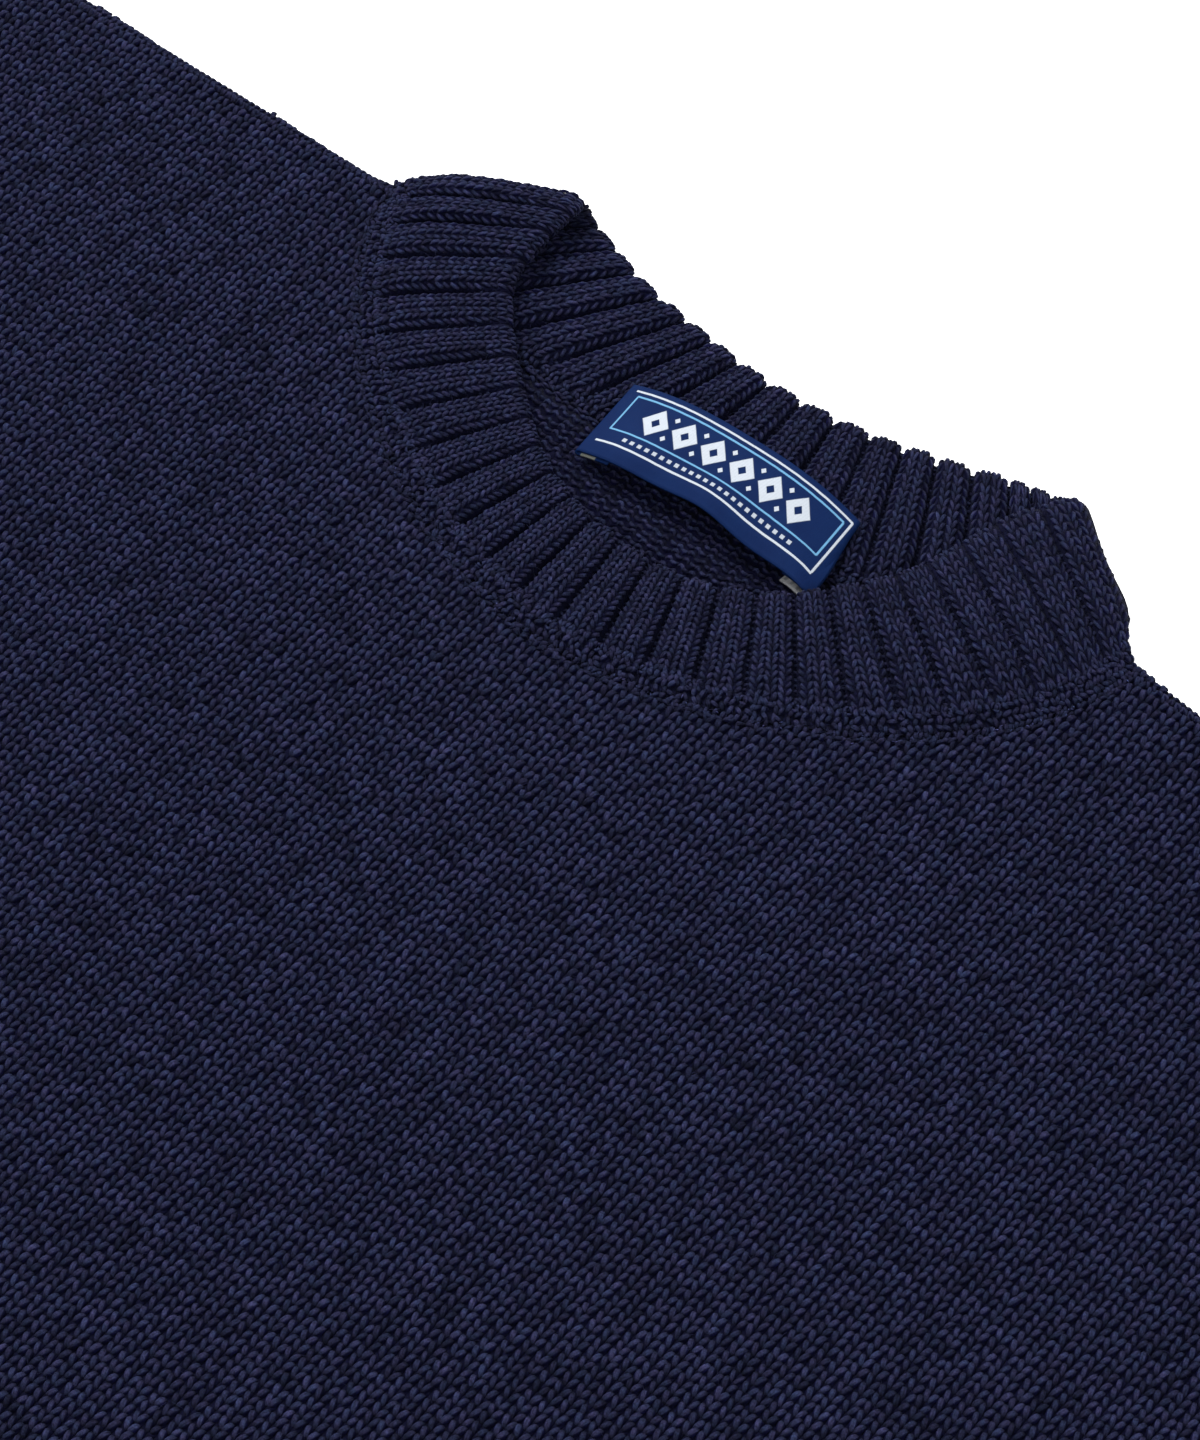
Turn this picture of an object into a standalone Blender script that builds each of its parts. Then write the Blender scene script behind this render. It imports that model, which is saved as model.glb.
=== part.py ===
"""A navy crewneck sweater, knitted in wool and laid flat on its back panel.

The garment lies in the XY plane with its hem towards -Y and its neck towards +Y. Left and right are the
wearer's, so the right sleeve points to -X. Each sewn piece is one closed wall of cloth. Heights and
places are worked out on the shoulder line, then the whole garment is set down centred on the origin.
"""

import math

import bpy
from mathutils import Vector

MM = 0.001

# Cloth and the way its two layers lie
CLOTH = 3.0 * MM
SEAM_GAP = 0.3 * MM
UPPER_FLOOR = CLOTH + SEAM_GAP
UPPER_TOP = UPPER_FLOOR + CLOTH
EDGE_ROUND = 5.0 * MM
EDGE_DROP = 1.6 * MM

# Body
BODY_HALF_WIDTH = 270 * MM
BODY_LENGTH = 680 * MM
HEM_HEIGHT = 65 * MM
ARMHOLE_DEPTH = 235 * MM
HEM_TOP = -(BODY_LENGTH - HEM_HEIGHT)
HEM_HALF_WIDTH = 261 * MM
SHOULDER_FALL = 7 * MM

# Neckline, a half superellipse at the front and a shallower one at the back
NECK_HALF_WIDTH = 109.7 * MM
FRONT_DROP = 79 * MM
BACK_DROP = 22 * MM
FRONT_FULLNESS = 1.7
BACK_FULLNESS = 2.5
NECK_CLEARANCE = 0.7 * MM

# Sleeves and cuffs
SLEEVE_SLOPE = math.radians(38)
SLEEVE_RUN = 400 * MM
TAPER = math.radians(6)
SLEEVE_END_HALF = 51 * MM
CUFF_LENGTH = 68 * MM
CUFF_HALF = 45 * MM
CUFF_HEIGHT = 7.0 * MM
CUFF_RIBS = 10

# Neckband, a doubled strip of rib
BAND_RIBS_FRONT = 26
BAND_RIBS_BACK = 18
STITCHES_PER_RIB = 4
BAND_THICKNESS = 5.0 * MM
BAND_BASE_THICKNESS = 3.0 * MM
BAND_BASE_FRONT_Z = 5.0 * MM
BAND_BASE_BACK_Z = 1.6 * MM
BAND_BULGE = 1.6 * MM
LEFT_FOLD_BULGE = 2.4 * MM
BACK_EDGE_Z = 2.6 * MM

# Relief of one rib, stitch by stitch: a sunk purl column, then three raised knit columns
RIB_RELIEF = (-1.4 * MM, 0.45 * MM, 0.8 * MM, 0.45 * MM)
HEM_RIB_PITCH = 9.6 * MM

# Labels
LABEL_WIDTH = 65 * MM
LABEL_DEPTH = 22.5 * MM
LABEL_CLOTH = 0.7 * MM
LABEL_TILT = math.radians(3)
LABEL_CENTRE = (6.6 * MM, -21.0 * MM)
LABEL_FLOOR = 6.5 * MM
LABEL_DIP = 1.3 * MM
LABEL_BULGE = 4.6 * MM
LABEL_ARCH = 1.5 * MM
LABEL_FOLD = 9 * MM
TAB_SIZE = (8.5 * MM, 6.5 * MM)
TAB_CENTRE = (35.6 * MM, -27.9 * MM)
TAB_CLOTH = 0.6 * MM
TAB_TILT = math.radians(-8)

# Free edge of the neckband along its middle surface, from the right fold round the front to the left one
FRONT_EDGE = [
    # (x mm, y mm, z mm)
    (-69.6, 21.8, 8.2),
    (-68.3, 16.0, 11.0),
    (-68.5, 4.4, 10.8),
    (-66.6, -7.5, 9.7),
    (-57.5, -18.5, 8.2),
    (-43.5, -30.0, 6.9),
    (-28.0, -40.5, 6.5),
    (-11.5, -46.0, 6.4),
    (2.0, -47.2, 6.4),
    (14.5, -46.2, 6.4),
    (27.0, -41.5, 6.5),
    (38.5, -33.5, 6.9),
    (48.0, -23.0, 7.9),
    (56.0, -11.5, 9.2),
    (60.5, 0.5, 10.0),
    (64.0, 12.0, 10.2),
    (69.4, 23.0, 9.6),
    (72.0, 30.0, 6.6),
]

# The same edge back along the back of the neck, from the left fold to the right one
BACK_EDGE = [
    # (x mm, y mm)
    (72.0, 30.0),
    (67.5, 30.4),
    (55.0, 26.4),
    (36.0, 19.8),
    (16.0, 14.8),
    (-6.0, 12.6),
    (-26.0, 13.8),
    (-45.0, 16.2),
    (-60.0, 20.6),
    (-65.6, 22.6),
    (-69.6, 21.8),
]

# Ribs lean and crowd unevenly. The places are counted in even ribs, and run on round the back.
RIB_PLACES = [
    # (rib, its place along the seam, its place along the free edge)
    (0, 0.0, 0.0),
    (2, 1.6, 1.65),
    (4, 3.6, 3.9),
    (6, 5.6, 5.95),
    (8, 7.78, 7.95),
    (10, 10.0, 9.8),
    (12, 12.15, 11.65),
    (14, 14.35, 13.7),
    (16, 16.55, 15.7),
    (18, 18.75, 17.65),
    (20, 20.9, 19.45),
    (22, 22.9, 21.2),
    (24, 24.6, 23.4),
    (25, 25.3, 24.7),
    (26, 26.0, 26.0),
    (27, 26.95, 27.0),
    (29, 28.4, 28.2),
    (31, 30.4, 30.3),
    (33, 32.3, 32.26),
    (35, 34.5, 34.44),
    (37, 36.7, 36.67),
    (39, 38.75, 38.7),
    (41, 40.9, 40.93),
    (44, 44.0, 44.0),
]

# Soft folds in the upper layer: a ridge between two points on the cloth, its width and its height
FOLDS = [
    # (x0 mm, y0 mm, x1 mm, y1 mm, half width mm, height mm)
    (262, -222, 176, -300, 17, 5.0),
    (262, -214, 205, -170, 14, 3.6),
    (300, -246, 392, -262, 15, 5.2),
    (296, -226, 372, -214, 13, 4.0),
    (420, -262, 520, -318, 16, 3.4),
    (-264, -226, -168, -288, 16, 4.6),
    (-260, -212, -214, -156, 15, 3.8),
    (-302, -250, -400, -272, 16, 5.0),
    (-298, -228, -366, -206, 12, 3.6),
    (-430, -250, -540, -322, 17, 3.2),
    (-60, -330, 80, -372, 30, 2.6),
    (-150, -470, -30, -505, 28, 2.4),
]

NAVY = (0.0118, 0.0140, 0.0366)
LABEL_BLUE = (0.0137, 0.0388, 0.1170)
WHITE = (0.72, 0.73, 0.74)


def clear_scene():
    for thing in list(bpy.data.objects):
        bpy.data.objects.remove(thing, do_unlink=True)


def make_material(name, colour, roughness):
    material = bpy.data.materials.new(name)
    material.use_nodes = True
    shader = material.node_tree.nodes["Principled BSDF"]
    shader.inputs["Base Color"].default_value = (*colour, 1.0)
    shader.inputs["Roughness"].default_value = roughness
    shader.inputs["Metallic"].default_value = 0.0
    return material


def smooth(value):
    value = min(max(value, 0.0), 1.0)
    return value * value * (3.0 - 2.0 * value)


def mix(start, end, amount):
    return start + (end - start) * amount


def spline(points, position):
    """A point on the Catmull-Rom curve through points, at 0 for the first and 1 for the last."""
    spans = len(points) - 1
    place = min(max(position, 0.0), 1.0) * spans
    index = min(int(place), spans - 1)
    t = place - index
    p1 = Vector(points[index])
    p2 = Vector(points[index + 1])
    p0 = Vector(points[index - 1]) if index > 0 else p1 * 2 - p2
    p3 = Vector(points[index + 2]) if index + 2 <= spans else p2 * 2 - p1
    straight = p2 - p0
    bend = 2 * p0 - 5 * p1 + 4 * p2 - p3
    twist = 3 * p1 - p0 - 3 * p2 + p3
    return (2 * p1 + straight * t + bend * t * t + twist * t * t * t) * 0.5


def rib_place(rib, column):
    """The place of a rib in even ribs, along the seam for column 1 and the free edge for column 2."""
    for before, after in zip(RIB_PLACES, RIB_PLACES[1:]):
        if rib <= after[0]:
            share = (rib - before[0]) / (after[0] - before[0])
            return mix(before[column], after[column], share)
    return RIB_PLACES[-1][column]


def points_at(points, shares, samples=400):
    """Points at rising shares of the length of the smooth curve through points."""
    fine = [spline(points, i / samples) for i in range(samples + 1)]
    reach = [0.0]
    for before, after in zip(fine, fine[1:]):
        reach.append(reach[-1] + (after - before).length)
    spaced = []
    cursor = 0
    for share in shares:
        target = reach[-1] * share
        while cursor < samples - 1 and reach[cursor + 1] < target:
            cursor += 1
        span = reach[cursor + 1] - reach[cursor]
        spaced.append(fine[cursor].lerp(fine[cursor + 1], (target - reach[cursor]) / span))
    return spaced


def fold_lift(x, y):
    """How far the soft folds raise the upper layer at a point."""
    lift = 0.0
    for x0, y0, x1, y1, half_width, height in FOLDS:
        along = Vector((x1 - x0, y1 - y0)) * MM
        offset = Vector((x - x0 * MM, y - y0 * MM))
        place = offset.dot(along) / along.length_squared
        across = abs(offset.x * along.y - offset.y * along.x) / along.length
        fade = smooth((place + 0.12) / 0.35) * smooth((1.12 - place) / 0.55)
        lift += height * MM * fade * math.exp(-((across / (half_width * MM)) ** 2) * 2.0)
    return lift


def add_wall(name, sections, material, ring=False):
    """A closed wall through sections that all have the same number of points.

    Each section runs along one face of the wall and back along the other. A ring joins the last
    section to the first, and any other wall is closed at both ends by strips between the two faces.
    """
    size = len(sections[0])
    count = len(sections)
    points = [point for section in sections for point in section]
    faces = []
    for i in range(count if ring else count - 1):
        first = i * size
        second = (i + 1) % count * size
        for j in range(size):
            k = (j + 1) % size
            faces.append((first + j, first + k, second + k, second + j))
    if not ring:
        for first, turn in ((0, 1), ((count - 1) * size, -1)):
            for j in range(size // 2 - 1):
                strip = (first + j, first + size - 1 - j, first + size - 2 - j, first + j + 1)
                faces.append(strip[::turn])
    mesh = bpy.data.meshes.new(name)
    mesh.from_pydata([tuple(point) for point in points], [], faces)
    mesh.validate()
    piece = bpy.data.objects.new(name, mesh)
    piece.data.materials.append(material)
    make_outward(mesh)
    mesh.shade_smooth()
    return piece


def make_outward(mesh):
    """Turns the faces round if the closed mesh came out inside out."""
    mesh.calc_loop_triangles()
    volume = 0.0
    for triangle in mesh.loop_triangles:
        a, b, c = (mesh.vertices[index].co for index in triangle.vertices)
        volume += a.dot(b.cross(c))
    if volume < 0.0:
        mesh.flip_normals()


def superellipse_drop(x, half_width, drop, fullness):
    """How far a neckline lies below the shoulder line at x."""
    share = min(abs(x) / half_width, 1.0)
    return drop * (1.0 - share ** fullness) ** (1.0 / fullness)


def neckline_points(drop, fullness, height, count=60):
    """The neckline from the right shoulder to the left, as points for a curve."""
    points = []
    for i in range(count + 1):
        x = -NECK_HALF_WIDTH * math.cos(math.pi * i / count)
        points.append((x, -superellipse_drop(x, NECK_HALF_WIDTH, drop, fullness), height))
    return points


def panel_top(x, drop, fullness):
    """The top edge of a body panel: the neckline, then the slightly falling shoulder."""
    neck = NECK_HALF_WIDTH + NECK_CLEARANCE
    if abs(x) < neck:
        return -superellipse_drop(x, neck, drop + NECK_CLEARANCE, fullness)
    return -SHOULDER_FALL * (abs(x) - neck) / (BODY_HALF_WIDTH - neck)


def panel_columns():
    """The x of each section of a body panel, close together round the neck and at the side seams."""
    neck = NECK_HALF_WIDTH + NECK_CLEARANCE
    neck_steps = 26
    columns = [neck * math.sin(math.pi * (i / neck_steps - 0.5)) for i in range(neck_steps + 1)]
    outer = [mix(neck, BODY_HALF_WIDTH, share) for share in (0.035, 0.2, 0.4, 0.6, 0.76, 0.88)]
    outer += [BODY_HALF_WIDTH - inset for inset in (EDGE_ROUND, EDGE_ROUND * 0.4, 0.0)]
    return [-x for x in reversed(outer)] + columns + outer


def panel_rows(top):
    """The y of each row of a panel section, from the hem up to its top edge."""
    start = HEM_TOP + SEAM_GAP
    rows = [mix(start, top, share) for share in (0.0, 0.012, 0.14, 0.28, 0.42, 0.54, 0.65, 0.75, 0.85)]
    return rows + [top - 22 * MM, top - EDGE_ROUND, top - EDGE_ROUND * 0.4, top]


def side_drop(x, y, top):
    """How far the wall rounds down at the shoulder edge and at the open side seam."""
    side = smooth(1.0 - (BODY_HALF_WIDTH - abs(x)) / EDGE_ROUND)
    below_armhole = smooth((-ARMHOLE_DEPTH - y) / (12 * MM))
    shoulder = smooth(1.0 - (top - y) / EDGE_ROUND)
    beyond_neck = smooth((abs(x) - NECK_HALF_WIDTH) / (9 * MM))
    return EDGE_DROP * max(side * below_armhole, shoulder * beyond_neck)


def body_panel(name, drop, fullness, is_front, material):
    sections = []
    for x in panel_columns():
        top = panel_top(x, drop, fullness)
        lower = []
        upper = []
        for y in panel_rows(top):
            rounding = side_drop(x, y, top)
            if is_front:
                lift = fold_lift(x, y)
                lower.append((x, y, UPPER_FLOOR + lift))
                upper.append((x, y, UPPER_TOP + lift - rounding))
            else:
                lower.append((x, y, rounding * 0.5))
                upper.append((x, y, CLOTH))
        sections.append(lower + upper[::-1])
    return add_wall(name, sections, material)


def bezier(p0, p1, p2, p3, t):
    s = 1.0 - t
    return p0 * s ** 3 + p1 * (3 * s * s * t) + p2 * (3 * s * t * t) + p3 * t ** 3


def sleeve_edges(t):
    """The upper and lower outline of the left sleeve at t, 0 at the armhole and 1 at the cuff."""
    along = Vector((math.cos(SLEEVE_SLOPE), -math.sin(SLEEVE_SLOPE)))
    across = Vector((math.sin(SLEEVE_SLOPE), math.cos(SLEEVE_SLOPE)))
    seam = BODY_HALF_WIDTH + SEAM_GAP
    top = Vector((seam, -SHOULDER_FALL))
    bottom = Vector((seam, -ARMHOLE_DEPTH))
    end = Vector((seam, -ARMHOLE_DEPTH * 0.5)) + along * SLEEVE_RUN
    end_top = end + across * SLEEVE_END_HALF
    end_bottom = end - across * SLEEVE_END_HALF
    shoulder_pull = Vector((0.97, -0.24)) * (95 * MM)
    underarm_pull = Vector((0.80, -0.60)) * (60 * MM)
    top_in = Vector((math.cos(SLEEVE_SLOPE + TAPER), -math.sin(SLEEVE_SLOPE + TAPER))) * (190 * MM)
    bottom_in = Vector((math.cos(SLEEVE_SLOPE - TAPER), -math.sin(SLEEVE_SLOPE - TAPER))) * (120 * MM)
    upper = bezier(top, top + shoulder_pull, end_top - top_in, end_top, t)
    lower = bezier(bottom, bottom + underarm_pull, end_bottom - bottom_in, end_bottom, t)
    return upper, lower


def flat_oval(half_width, height, floor=0.0):
    """Places across a flattened tube, going round it: a share of half_width and a height."""
    radius = height * 0.5
    straight = half_width - radius
    steps = 4
    shares = (-0.78, -0.45, -0.12, 0.22, 0.56, 0.84)
    places = []
    for i in range(steps + 1):
        turn = -math.pi * 0.5 + math.pi * i / steps
        places.append((straight + radius * math.cos(turn), floor + radius + radius * math.sin(turn)))
    for share in reversed(shares):
        places.append((straight * share, floor + height))
    for i in range(steps + 1):
        turn = math.pi * 0.5 + math.pi * i / steps
        places.append((-straight + radius * math.cos(turn), floor + radius + radius * math.sin(turn)))
    for share in shares:
        places.append((straight * share, floor))
    return places


def sleeve(name, side, material):
    """A flattened tube of cloth, its sections running along the arm. side is 1 for the left one."""
    rings = 18
    inner_height = UPPER_TOP - 2 * CLOTH
    outer = []
    inner = []
    for i in range(rings + 1):
        upper, lower = sleeve_edges(i / rings)
        middle = (upper + lower) * 0.5
        half_width = (upper - lower).length * 0.5
        across = (upper - lower).normalized()
        for places, store, lifted_above in (
            (flat_oval(half_width, UPPER_TOP), outer, UPPER_TOP * 0.55),
            (flat_oval(half_width - CLOTH, inner_height, CLOTH), inner, CLOTH + inner_height * 0.55),
        ):
            ring = []
            for offset, z in places:
                spot = middle + across * offset
                lift = fold_lift(side * spot.x, spot.y) if z > lifted_above else 0.0
                ring.append((side * spot.x, spot.y, z + lift))
            store.append(ring)
    sections = []
    for j in range(len(outer[0])):
        along_outside = [ring[j] for ring in outer]
        along_inside = [ring[j] for ring in inner]
        sections.append(along_outside + along_inside[::-1])
    return add_wall(name, sections, material, ring=True)


def cuff(name, side, material):
    """A ribbed tube on the end of a sleeve, ribs on its upper side over a plain inside."""
    along = Vector((math.cos(SLEEVE_SLOPE), -math.sin(SLEEVE_SLOPE)))
    across = Vector((math.sin(SLEEVE_SLOPE), math.cos(SLEEVE_SLOPE)))
    armhole_middle = Vector((BODY_HALF_WIDTH + SEAM_GAP, -ARMHOLE_DEPTH * 0.5))
    start = armhole_middle + along * (SLEEVE_RUN + SEAM_GAP)
    stations = CUFF_RIBS * STITCHES_PER_RIB
    radius = CUFF_HEIGHT * 0.5
    length_shares = (0.0, 0.10, 0.55, 0.94, 1.0)
    widths = (1.05, 0.99, 0.96, 0.98, 0.97)
    heights = (0.94, 1.0, 1.0, 1.0, 0.78)
    sections = []
    under_shares = (-0.9, -0.45, 0.0, 0.45, 0.9)
    places = [(1.0 - 2.0 * j / stations, True, j) for j in range(stations + 1)]
    places += [(share, False, 0) for share in under_shares]
    for share, on_top, stitch in places:
        outside = []
        inside = []
        for length, width, height in zip(length_shares, widths, heights):
            half = CUFF_HALF * width
            middle = start + along * (CUFF_LENGTH * length)
            spot = middle + across * (half * share)
            inner_spot = middle + across * ((half - CLOTH) * share * 0.97)
            reach = max(abs(half * share) - (half - radius), 0.0) / radius
            curve = math.sqrt(max(1.0 - reach * reach, 0.0))
            if on_top:
                relief = RIB_RELIEF[stitch % STITCHES_PER_RIB] * 0.75 * curve
                z = radius + radius * curve * height + relief
                inner_z = CLOTH + 0.4 * MM
            else:
                z = 0.0
                inner_z = CLOTH
            outside.append((side * spot.x, spot.y, z))
            inside.append((side * inner_spot.x, inner_spot.y, inner_z))
        sections.append(outside + inside[::-1])
    return add_wall(name, sections, material, ring=True)


def hem_rib(name, is_front, material):
    """The welt under a body panel. The front one is ribbed, and the back one rests on its plain face."""
    ribs = round(2 * HEM_HALF_WIDTH / HEM_RIB_PITCH)
    stations = ribs * STITCHES_PER_RIB if is_front else 12
    floor = UPPER_FLOOR if is_front else 0.0
    top = HEM_TOP - SEAM_GAP
    rows = (0.0, 0.08, 0.94, 1.0)
    row_widths = (1.02, 1.0, 0.99, 0.985)
    row_heights = (0.92, 1.0, 1.0, 0.72)
    sections = []
    for j in range(stations + 1):
        share = 2.0 * j / stations - 1.0
        lower = []
        upper = []
        end = 1.0 if 0 < j < stations else 0.6
        for row, width, height in zip(rows, row_widths, row_heights):
            x = HEM_HALF_WIDTH * width * share
            y = mix(top, -BODY_LENGTH, row)
            relief = RIB_RELIEF[j % STITCHES_PER_RIB] * 0.8 if is_front and 0 < j < stations else 0.0
            thickness = CLOTH * height * end + relief
            lower.append((x, y, floor))
            upper.append((x, y, floor + thickness))
        sections.append(lower + upper[::-1])
    return add_wall(name, sections, material)


def band_rings():
    """Matching points on the seam and on the free edge of the neckband, one pair for each stitch."""
    front_edge = [Vector(row) * MM for row in FRONT_EDGE]
    back_edge = [Vector((x * MM, y * MM, BACK_EDGE_Z)) for x, y in BACK_EDGE]
    back_edge[0] = front_edge[-1]
    back_edge[-1] = front_edge[0]
    turn_z = (BAND_BASE_FRONT_Z + BAND_BASE_BACK_Z) * 0.5
    turn_right = Vector((-NECK_HALF_WIDTH, (BAND_BASE_FRONT_Z - turn_z), turn_z))
    turn_left = Vector((NECK_HALF_WIDTH, (BAND_BASE_FRONT_Z - turn_z), turn_z))
    front_seam = [turn_right]
    front_seam += [Vector(p) for p in neckline_points(FRONT_DROP, FRONT_FULLNESS, BAND_BASE_FRONT_Z)]
    front_seam.append(turn_left)
    back_seam = [turn_left]
    back_seam += [
        Vector((-p[0], p[1], p[2])) for p in neckline_points(BACK_DROP, BACK_FULLNESS, BAND_BASE_BACK_Z)
    ]
    back_seam.append(turn_right)
    rings = []
    for column, front, back in ((1, front_seam, back_seam), (2, front_edge, back_edge)):
        ring = []
        for curve, first, count in ((front, 0, BAND_RIBS_FRONT), (back, BAND_RIBS_FRONT, BAND_RIBS_BACK)):
            ribs = [first + i / STITCHES_PER_RIB for i in range(count * STITCHES_PER_RIB)]
            ring += points_at(curve, [(rib_place(rib, column) - first) / count for rib in ribs])
        rings.append(ring)
    return rings


def neckband(name, material):
    """The doubled rib round the neck, outer face up at the front and inner face up at the back."""
    # Share of the height, share of the half thickness, share of the rib relief
    outer_profile = [(0.0, 1.0, 0.3), (0.10, 1.0, 0.8), (0.35, 1.0, 1.0), (0.70, 1.0, 1.0), (0.93, 0.82, 0.9)]
    tip_profile = [(1.0, 0.0, 0.8)]
    inner_profile = [(0.93, -0.82, 0.9), (0.60, -1.0, 1.0), (0.28, -1.0, 1.0), (0.0, -1.0, 0.3)]
    seam, edge = band_rings()
    count = len(seam)
    sections = []
    for i in range(count):
        around = (seam[(i + 1) % count] - seam[i - 1]) + (edge[(i + 1) % count] - edge[i - 1])
        rise = edge[i] - seam[i]
        outward = around.cross(rise).normalized()
        face_up = outward.z
        section = []
        for height, side, relief_share in outer_profile + tip_profile + inner_profile:
            spot = seam[i].lerp(edge[i], height)
            spot.z = mix(seam[i].z, edge[i].z, 1.0 - (1.0 - height) ** 4)
            fold = 1.0 - min(abs(face_up), 1.0)
            spot += Vector((outward.x, outward.y, 0.0)) * (BAND_BULGE * fold * math.sin(math.pi * height))
            if seam[i].x > 0.0:
                tuck = LEFT_FOLD_BULGE * fold * math.exp(-(((height - 0.30) / 0.17) ** 2))
                spot += Vector((outward.x, outward.y, 0.0)) * tuck
            growth = min(height / 0.28, 1.0)
            half = mix(BAND_BASE_THICKNESS, BAND_THICKNESS, growth) * 0.5
            relief = RIB_RELIEF[i % STITCHES_PER_RIB] * relief_share
            if side > 0.0:
                shown = smooth(0.5 + 1.6 * (face_up + 0.35))
            else:
                shown = smooth(0.5 - 1.6 * (face_up + 0.35))
            if side == 0.0:
                spot += rise.normalized() * (relief * 0.9)
            else:
                spot += outward * (side * half + math.copysign(relief * shown, side))
            section.append((spot.x, spot.y, max(spot.z, 0.0)))
        sections.append(section)
    return add_wall(name, sections, material, ring=True)


def turned(x, y, angle, centre):
    """A point turned by angle and moved to centre."""
    return (
        centre[0] + x * math.cos(angle) - y * math.sin(angle),
        centre[1] + x * math.sin(angle) + y * math.cos(angle),
    )


def neck_label(name, material):
    """A woven label with both ends folded under, bowed up a little off the back of the neck."""
    half = LABEL_WIDTH * 0.5
    turn = LABEL_CLOTH * 0.95
    path = [(-half + LABEL_FOLD, 0.0), (-half + LABEL_FOLD * 0.5, 0.0), (-half + turn, 0.0)]
    path += [(-half + turn * 0.3, turn * 0.3), (-half, turn), (-half + turn * 0.3, turn * 1.7)]
    steps = 14
    for i in range(steps + 1):
        share = i / steps
        path.append((mix(-half + turn, half - turn, share), turn * 2.0))
    path += [(half - turn * 0.3, turn * 1.7), (half, turn), (half - turn * 0.3, turn * 0.3)]
    path += [(half - turn, 0.0), (half - LABEL_FOLD * 0.5, 0.0), (half - LABEL_FOLD, 0.0)]
    rows = (-0.5, -0.2, 0.15, 0.5)
    sections = []
    for i, (x, z) in enumerate(path):
        before = path[max(i - 1, 0)]
        after = path[min(i + 1, len(path) - 1)]
        tangent = Vector((after[0] - before[0], 0.0, after[1] - before[1])).normalized()
        normal = Vector((-tangent.z, 0.0, tangent.x))
        near = []
        far = []
        rise = 1.0 - abs(x / half) ** 2.6
        for row in rows:
            bow = LABEL_BULGE * rise + LABEL_FLOOR - LABEL_DIP * (0.5 - row)
            spot_y = row * LABEL_DEPTH + LABEL_ARCH * rise
            for store, side in ((near, -0.5), (far, 0.5)):
                spot_x = x + normal.x * LABEL_CLOTH * side
                spot_z = z + normal.z * LABEL_CLOTH * side + bow + LABEL_CLOTH * 0.5
                place = turned(spot_x, spot_y, LABEL_TILT, LABEL_CENTRE)
                store.append((*place, spot_z))
        sections.append(near + far[::-1])
    return add_wall(name, sections, material)


def size_label(name, material):
    """The small white tab under the lower right corner of the neck label."""
    width, depth = TAB_SIZE
    steps = 4
    sections = []
    for i in range(steps + 1):
        x = width * (i / steps - 0.5)
        lower = []
        upper = []
        for share in (-0.5, 0.0, 0.5):
            place = turned(x, depth * share, TAB_TILT, TAB_CENTRE)
            height = UPPER_FLOOR + 0.5 * MM * math.sin(math.pi * i / steps)
            lower.append((*place, height))
            upper.append((*place, height + TAB_CLOTH))
        sections.append(lower + upper[::-1])
    return add_wall(name, sections, material)


def set_down(pieces, collection):
    """Hangs every piece on one empty, placed so that the garment's box stands centred on the origin."""
    corners = [vertex.co for piece in pieces for vertex in piece.data.vertices]
    middle_x = (min(c.x for c in corners) + max(c.x for c in corners)) * 0.5
    middle_y = (min(c.y for c in corners) + max(c.y for c in corners)) * 0.5
    holder = bpy.data.objects.new("shoulder_line", None)
    holder.location = (-middle_x, -middle_y, -min(c.z for c in corners))
    collection.objects.link(holder)
    for piece in pieces:
        collection.objects.link(piece)
        piece.parent = holder


def build():
    clear_scene()
    collection = bpy.data.collections.new("crewneck_sweater")
    bpy.context.scene.collection.children.link(collection)
    wool = make_material("navy_wool", NAVY, 0.9)
    woven = make_material("label_weave", LABEL_BLUE, 0.6)
    tape = make_material("white_tape", WHITE, 0.7)
    pieces = [
        body_panel("back_body", BACK_DROP, BACK_FULLNESS, False, wool),
        body_panel("front_body", FRONT_DROP, FRONT_FULLNESS, True, wool),
        sleeve("right_sleeve", -1, wool),
        sleeve("left_sleeve", 1, wool),
        cuff("right_cuff", -1, wool),
        cuff("left_cuff", 1, wool),
        hem_rib("back_hem_rib", False, wool),
        hem_rib("front_hem_rib", True, wool),
        neckband("neckband", wool),
        neck_label("neck_label", woven),
        size_label("size_label", tape),
    ]
    set_down(pieces, collection)


build()
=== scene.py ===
import math

import bpy
import numpy as np
from mathutils import Matrix, Vector


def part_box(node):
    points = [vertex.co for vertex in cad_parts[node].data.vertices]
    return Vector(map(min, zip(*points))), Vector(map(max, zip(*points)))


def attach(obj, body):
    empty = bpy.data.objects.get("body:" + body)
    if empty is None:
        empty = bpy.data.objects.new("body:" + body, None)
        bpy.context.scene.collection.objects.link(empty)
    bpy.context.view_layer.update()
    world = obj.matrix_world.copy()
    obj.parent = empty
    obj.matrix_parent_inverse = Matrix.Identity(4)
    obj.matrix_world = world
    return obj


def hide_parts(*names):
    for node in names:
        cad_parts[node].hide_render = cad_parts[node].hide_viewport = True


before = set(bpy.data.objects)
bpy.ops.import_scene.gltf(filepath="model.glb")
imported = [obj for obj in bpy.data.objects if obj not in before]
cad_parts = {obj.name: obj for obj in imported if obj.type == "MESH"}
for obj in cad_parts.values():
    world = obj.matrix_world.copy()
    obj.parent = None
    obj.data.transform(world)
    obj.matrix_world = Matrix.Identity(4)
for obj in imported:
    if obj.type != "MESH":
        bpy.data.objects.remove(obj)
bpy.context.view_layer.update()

mm = 0.001
chance = np.random.default_rng(11)

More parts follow.
